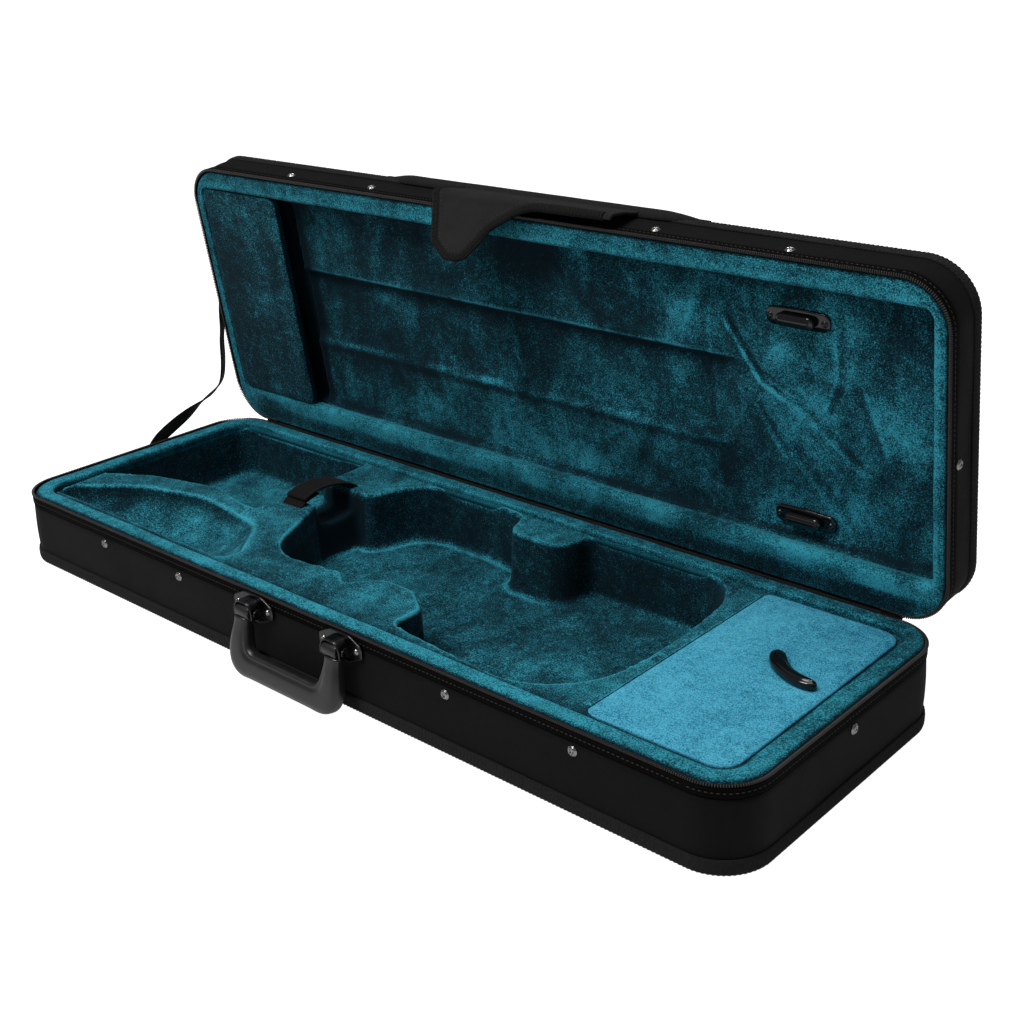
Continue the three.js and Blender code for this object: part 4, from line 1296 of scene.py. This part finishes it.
# ---- bow holders ----
def bow_holder(number, y):
    plate_low = LINING_DEPTH - 3.5
    facing = into_lid(BOW_HOLDER_X, y, 0)
    plate_outline = rounded([(-26, -7, 6), (0, -8, 30), (26, -7, 6), (26, 7, 6), (0, 8, 30), (-26, 7, 6)], 1)
    plate = slab(f"bow_plate_{number}", plate_outline, -LINING_DEPTH + 0.3, -plate_low, 1.4, GLOSS_PLASTIC,
                 facing, crown=0.4, reach=4)
    put(plate, "lid", "black_plastic", f"bow_holder_plate_{number}")
    bar_outline = rectangle(-15.5, 15.5, -5, 5, 4.8, 1)
    bar = slab(f"bow_toggle_bar_{number}", bar_outline, -plate_low + 1.2, -plate_low + 6.0, 2.2,
               GLOSS_PLASTIC, facing, crown=1.2, reach=2.4, steps=6)
    put(bar, f"bow_toggle_{number}", "black_plastic", f"bow_toggle_{number}")
    circle = rectangle(-2.4, 2.4, -2.4, 2.4, 2.39, 1)
    stem = slab(f"bow_toggle_stem_{number}", circle, -plate_low - 1.4, -plate_low + 1.6, 0.3,
                GLOSS_PLASTIC, facing)
    put(stem, f"bow_toggle_{number}", "black_plastic")
    for i, side in enumerate((-1, 1)):
        node = f"bow_holder_{number}_screw_{i + 1}"
        seat = facing @ moved(side * 22, 0, -plate_low + 0.25)
        screw = stud(f"{node}_head", seat, BLACK_NICKEL, 2.6, 1.3, 0.35, 0.4 + number)
        put(screw, "lid", "nickel", node)


for number, holder_y in enumerate(BOW_HOLDER_Y, 1):
    bow_holder(number, holder_y)


# ---- front flap ----
def lid_point(y, d):
    """Where a point of the shut lid is when the lid is open, as (y, z)."""
    return (LID @ Vector((0, y, d))).yz


def flap():
    """Cloth sewn along the lid's edge that hangs past a hinge line, bound round its hem."""
    left, right = FLAP["left"], FLAP["right"]
    lean = math.radians(FLAP["lean"])
    wall = -HALF_WIDTH - 0.3
    hinge_y, hinge_rise = FLAP["hinge_y"], FLAP["hinge_rise"]
    hinge = np.array(lid_point(hinge_y, hinge_rise))
    hanging = np.array([-math.sin(lean), -math.cos(lean)])
    sewn_down = [lid_point(wall - 1.6, LID_DEPTH), lid_point(wall - 2.4, LID_DEPTH - 12),
                 lid_point(hinge_y + 2, hinge_rise + 12)]
    profile = smooth_path(sewn_down + [hinge + hanging * past for past in (0, 8, 30, 58)], 400)
    run = travelled(profile)
    root = run[np.argmin(np.linalg.norm(profile - hinge, axis=1))]
    tangent = directions(profile)

    def on_cloth(flat):
        """Points (x, distance past the hinge, height off the cloth's middle) laid on the hanging flap."""
        s = root + flat[:, 1]
        at = sampled(s, run, profile)
        out = to_right(sampled(s, run, tangent))
        out = out if out[-1] @ np.array([-1, 0.3]) > 0 else -out
        dimple = 1.6 * np.exp(-(((flat[:, 0] + 22) / 12) ** 2 + ((flat[:, 1] - 30) / 14) ** 2))
        ripple = 0.5 * waves(flat[:, :2], 50, 41) * ease(flat[:, 1], -20, 15)
        clear_of_brackets = 0.9 * ease(flat[:, 1], -6, 4)
        off = flat[:, 2] - dimple + ripple + clear_of_brackets
        return np.column_stack([flat[:, 0], at + out * off[:, None]])

    hem = rounded([(left, -root + 1, 1), (left + 1, -4, 10), (left + 21, 44, 14), (left + 40, 56, 12),
                   (left + 58, 56, 13), (left + 74, 27, 24), (left + 104, 5, 40), (right, 4, 3),
                   (right, -root + 1, 1)], 1.5)
    rows, columns = 46, 150
    xs = np.linspace(left + 0.3, right - 0.3, columns)
    drop = np.array([hem[np.abs(hem[:, 0] - x) < 1.8][:, 1].max() for x in xs])
    share = np.linspace(0, 1, rows)[:, None]
    x, s = np.broadcast_to(xs, (rows, columns)), -root + 1 + share * (drop + root - 1)
    faces = [on_cloth(np.dstack([x, s, np.full_like(s, off)]).reshape(-1, 3)).reshape(rows, columns, 3)
             for off in (1.1, -1.1)]
    cloth = sheet_solid("front_flap_cloth", *faces, SMOOTH_NYLON)
    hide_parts("front_flap_root", "front_flap_tongue")

    corner = np.argmin(np.abs(hem[:, 0] - left) + np.abs(hem[:, 1] + root - 1))
    border = np.roll(hem, -corner, 0)
    if border[5, 0] > left + 2:
        border = np.roll(border[::-1], 1, 0)
    border = border[:np.flatnonzero(border[:, 0] > right - 6)[0] + 1]
    border = smooth_path(border, 220)
    inward = -outward(np.concatenate([border, [[right, -root]]]))[:-1]
    section = band_section(7.0, 3.8)
    plait = 1 + 0.2 * np.sin(np.arange(len(border)) * 2 * math.pi / 3.2)
    rings = [on_cloth(np.column_stack([at + into * (section[:, :1] + 2.4), section[:, 1] * swell]))
             for at, into, swell in zip(border, inward, plait)]
    binding = loft("front_flap_binding", rings, BRAID)
    sewn = stitches("front_flap_stitching", on_cloth(at_height(border + inward * 7.4, 1.2)), (0, -0.9, 0.3),
                    gap=1.0)
    for piece in (cloth, binding, sewn):
        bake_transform(piece)


flap()


def standing_at(x, section):
    """A section drawn in (y, z) as points at x."""
    return np.column_stack([np.full(len(section), x), section])


def flap_band():
    """The padded webbing band along the lid's outer edge that the flap comes out from under."""
    section = [(-131.4, 30.6), (-133.6, 31.2), (-135.6, 33.4), (-136.4, 37), (-136.2, 40.5), (-135.0, 43.2),
               (-132.4, 45.0), (-128.5, 45.6), (-123, 45.2), (-118.5, 44.0), (-116.5, 42.2), (-118, 41.6),
               (-124, 41.6), (-131, 40.5)]
    section = smooth_path(section, 60)
    rest = np.array([-131.4, 41.0])
    rings = []
    for x in np.linspace(-155, 184, 190):
        swell = max(0.12, float(ease(x, -155, -122) * (1 - ease(x, 140, 184))))
        shape = rest + (section - rest) * swell ** 0.6
        ripple = 0.25 * waves(standing_at(x, shape), 30, 43)
        rings.append(standing_at(x, shape + ripple[:, None] * 0.5))
    put(loft("flap_anchor_band", rings, WEBBING, LID), "lid", "webbing")


flap_band()


# ---- cloth hinge ----
def hinge_cloth():
    """A strip sewn to both back walls that bends round the hinge line, puckered on its outside."""
    reach, proud = 16, 0.9
    edge = np.array([HINGE.y, HINGE.z])
    up = np.array([math.cos(OPEN_ANGLE), -math.sin(OPEN_ANGLE)])
    outwards = np.array([math.sin(OPEN_ANGLE), math.cos(OPEN_ANGLE)])
    below = np.array([edge[0] + proud, edge[1] - reach])
    corner = np.array([edge[0] + proud + 0.6, edge[1] - 2.4])
    past = edge + up * proud + outwards * 3.2
    end = edge + up * proud + outwards * reach
    route = smooth_path([below, below * 0.4 + corner * 0.6, corner, past, end], 30)
    xs = np.linspace(-HINGE_SPAN, HINGE_SPAN, 230)
    out = to_right(directions(route))
    sides = []
    for off, pucker in ((0.45, 0.25), (-0.45, 0)):
        side = []
        for x in xs:
            ring = standing_at(x, route)
            raised = off + pucker * waves(ring, 26, 51)
            side.append(ring + standing_at(0, out * raised[:, None]))
        sides.append(np.array(side))
    cloth = sheet_solid("hinge_cloth_strip", *sides, SMOOTH_NYLON)
    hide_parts("hinge_cloth")
    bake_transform(cloth)
    for body, at in (("base", 2), ("lid", -3)):
        line = np.column_stack([xs, np.tile(route[at] + out[at] * 0.9, (len(xs), 1))])
        put(stitches(f"hinge_stitching_{body}", line, (0, *out[at])), body, "webbing")


hinge_cloth()


# ---- stay strap ----
def stay_strap():
    """A ribbon from wall to wall at the left end, slack at this opening and twisted in its middle."""
    outside = -HALF_LENGTH - 1.6
    points = [(0, 12, 46), (0.4, 18, 55), (2, 30, 65), (3, 50, 74), (3.5, 78, 85), (4, 103, 96),
              (4.5, 114, 106), (4.5, 118, 124), (4, 119, 146), (2.5, 122, 168), (1, 125, 188)]
    path = smooth_path([(outside - out, y, z) for out, y, z in points], 90)
    flat = np.cross(np.gradient(path, axis=0), (1, 0, 0))
    flat /= np.linalg.norm(flat, axis=1, keepdims=True)
    edge_on = np.array([-0.55, 0.8, 0.1])
    share = np.linspace(0, 1, len(path))
    twist = (ease(share, 0.2, 0.5) * (1 - ease(share, 0.82, 1.0)))[:, None]
    across = flat * np.sign(flat[:, 1:2] + 1e-9) * (1 - twist) + edge_on * twist
    piece = strap("stay_strap_ribbon", path, across, 13, 1.5, WEBBING)
    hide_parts("stay_strap")
    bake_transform(piece)


stay_strap()


# ---- floor and light ----
AMBIENT = 0.20
FLOOR_GLOW = 0.35
LAMPS = [("key", (-0.30, -1.2, 2.2), 0.9, 40), ("top", (0.1, 0.1, 2.5), 1.4, 20)]


def studio():
    white = Shader("floor_white", Base_Color=(0.5, 0.5, 0.5, 1), Roughness=0.9, Specular_IOR_Level=0.0,
                   Emission_Color=(1, 1, 1, 1))
    glow = white.spread(white.node("LightPath").outputs["Is Camera Ray"], 0, 1, FLOOR_GLOW, 1.0)
    white.set(white.surface.inputs["Emission Strength"], glow)
    reach, low = 9000, -0.4
    corners = [(-reach, -reach, low), (reach, -reach, low), (reach, reach, low), (-reach, reach, low)]
    to_object("floor", corners, [[0, 1, 2, 3]], white.material)
    world = bpy.data.worlds.new("studio")
    bpy.context.scene.world = world
    world.use_nodes = True
    tree = world.node_tree
    backdrop = tree.nodes["Background"].inputs["Strength"]
    seen = tree.nodes.new("ShaderNodeMapRange")
    tree.links.new(tree.nodes.new("ShaderNodeLightPath").outputs["Is Camera Ray"], seen.inputs["Value"])
    seen.inputs["To Min"].default_value = AMBIENT
    seen.inputs["To Max"].default_value = 1.0
    tree.links.new(seen.outputs[0], backdrop)
    tree.nodes["Background"].inputs["Color"].default_value = (1, 1, 1, 1)
    for name, place, size, power in LAMPS:
        data = bpy.data.lights.new(name, "AREA")
        data.size = size
        data.energy = power
        lamp = bpy.data.objects.new(name, data)
        lamp.location = place
        lamp.rotation_euler = (Vector((0, 0, 0.1)) - Vector(place)).to_track_quat("-Z", "Y").to_euler()
        bpy.context.scene.collection.objects.link(lamp)
    bpy.context.scene.view_settings.view_transform = "Standard"


studio()
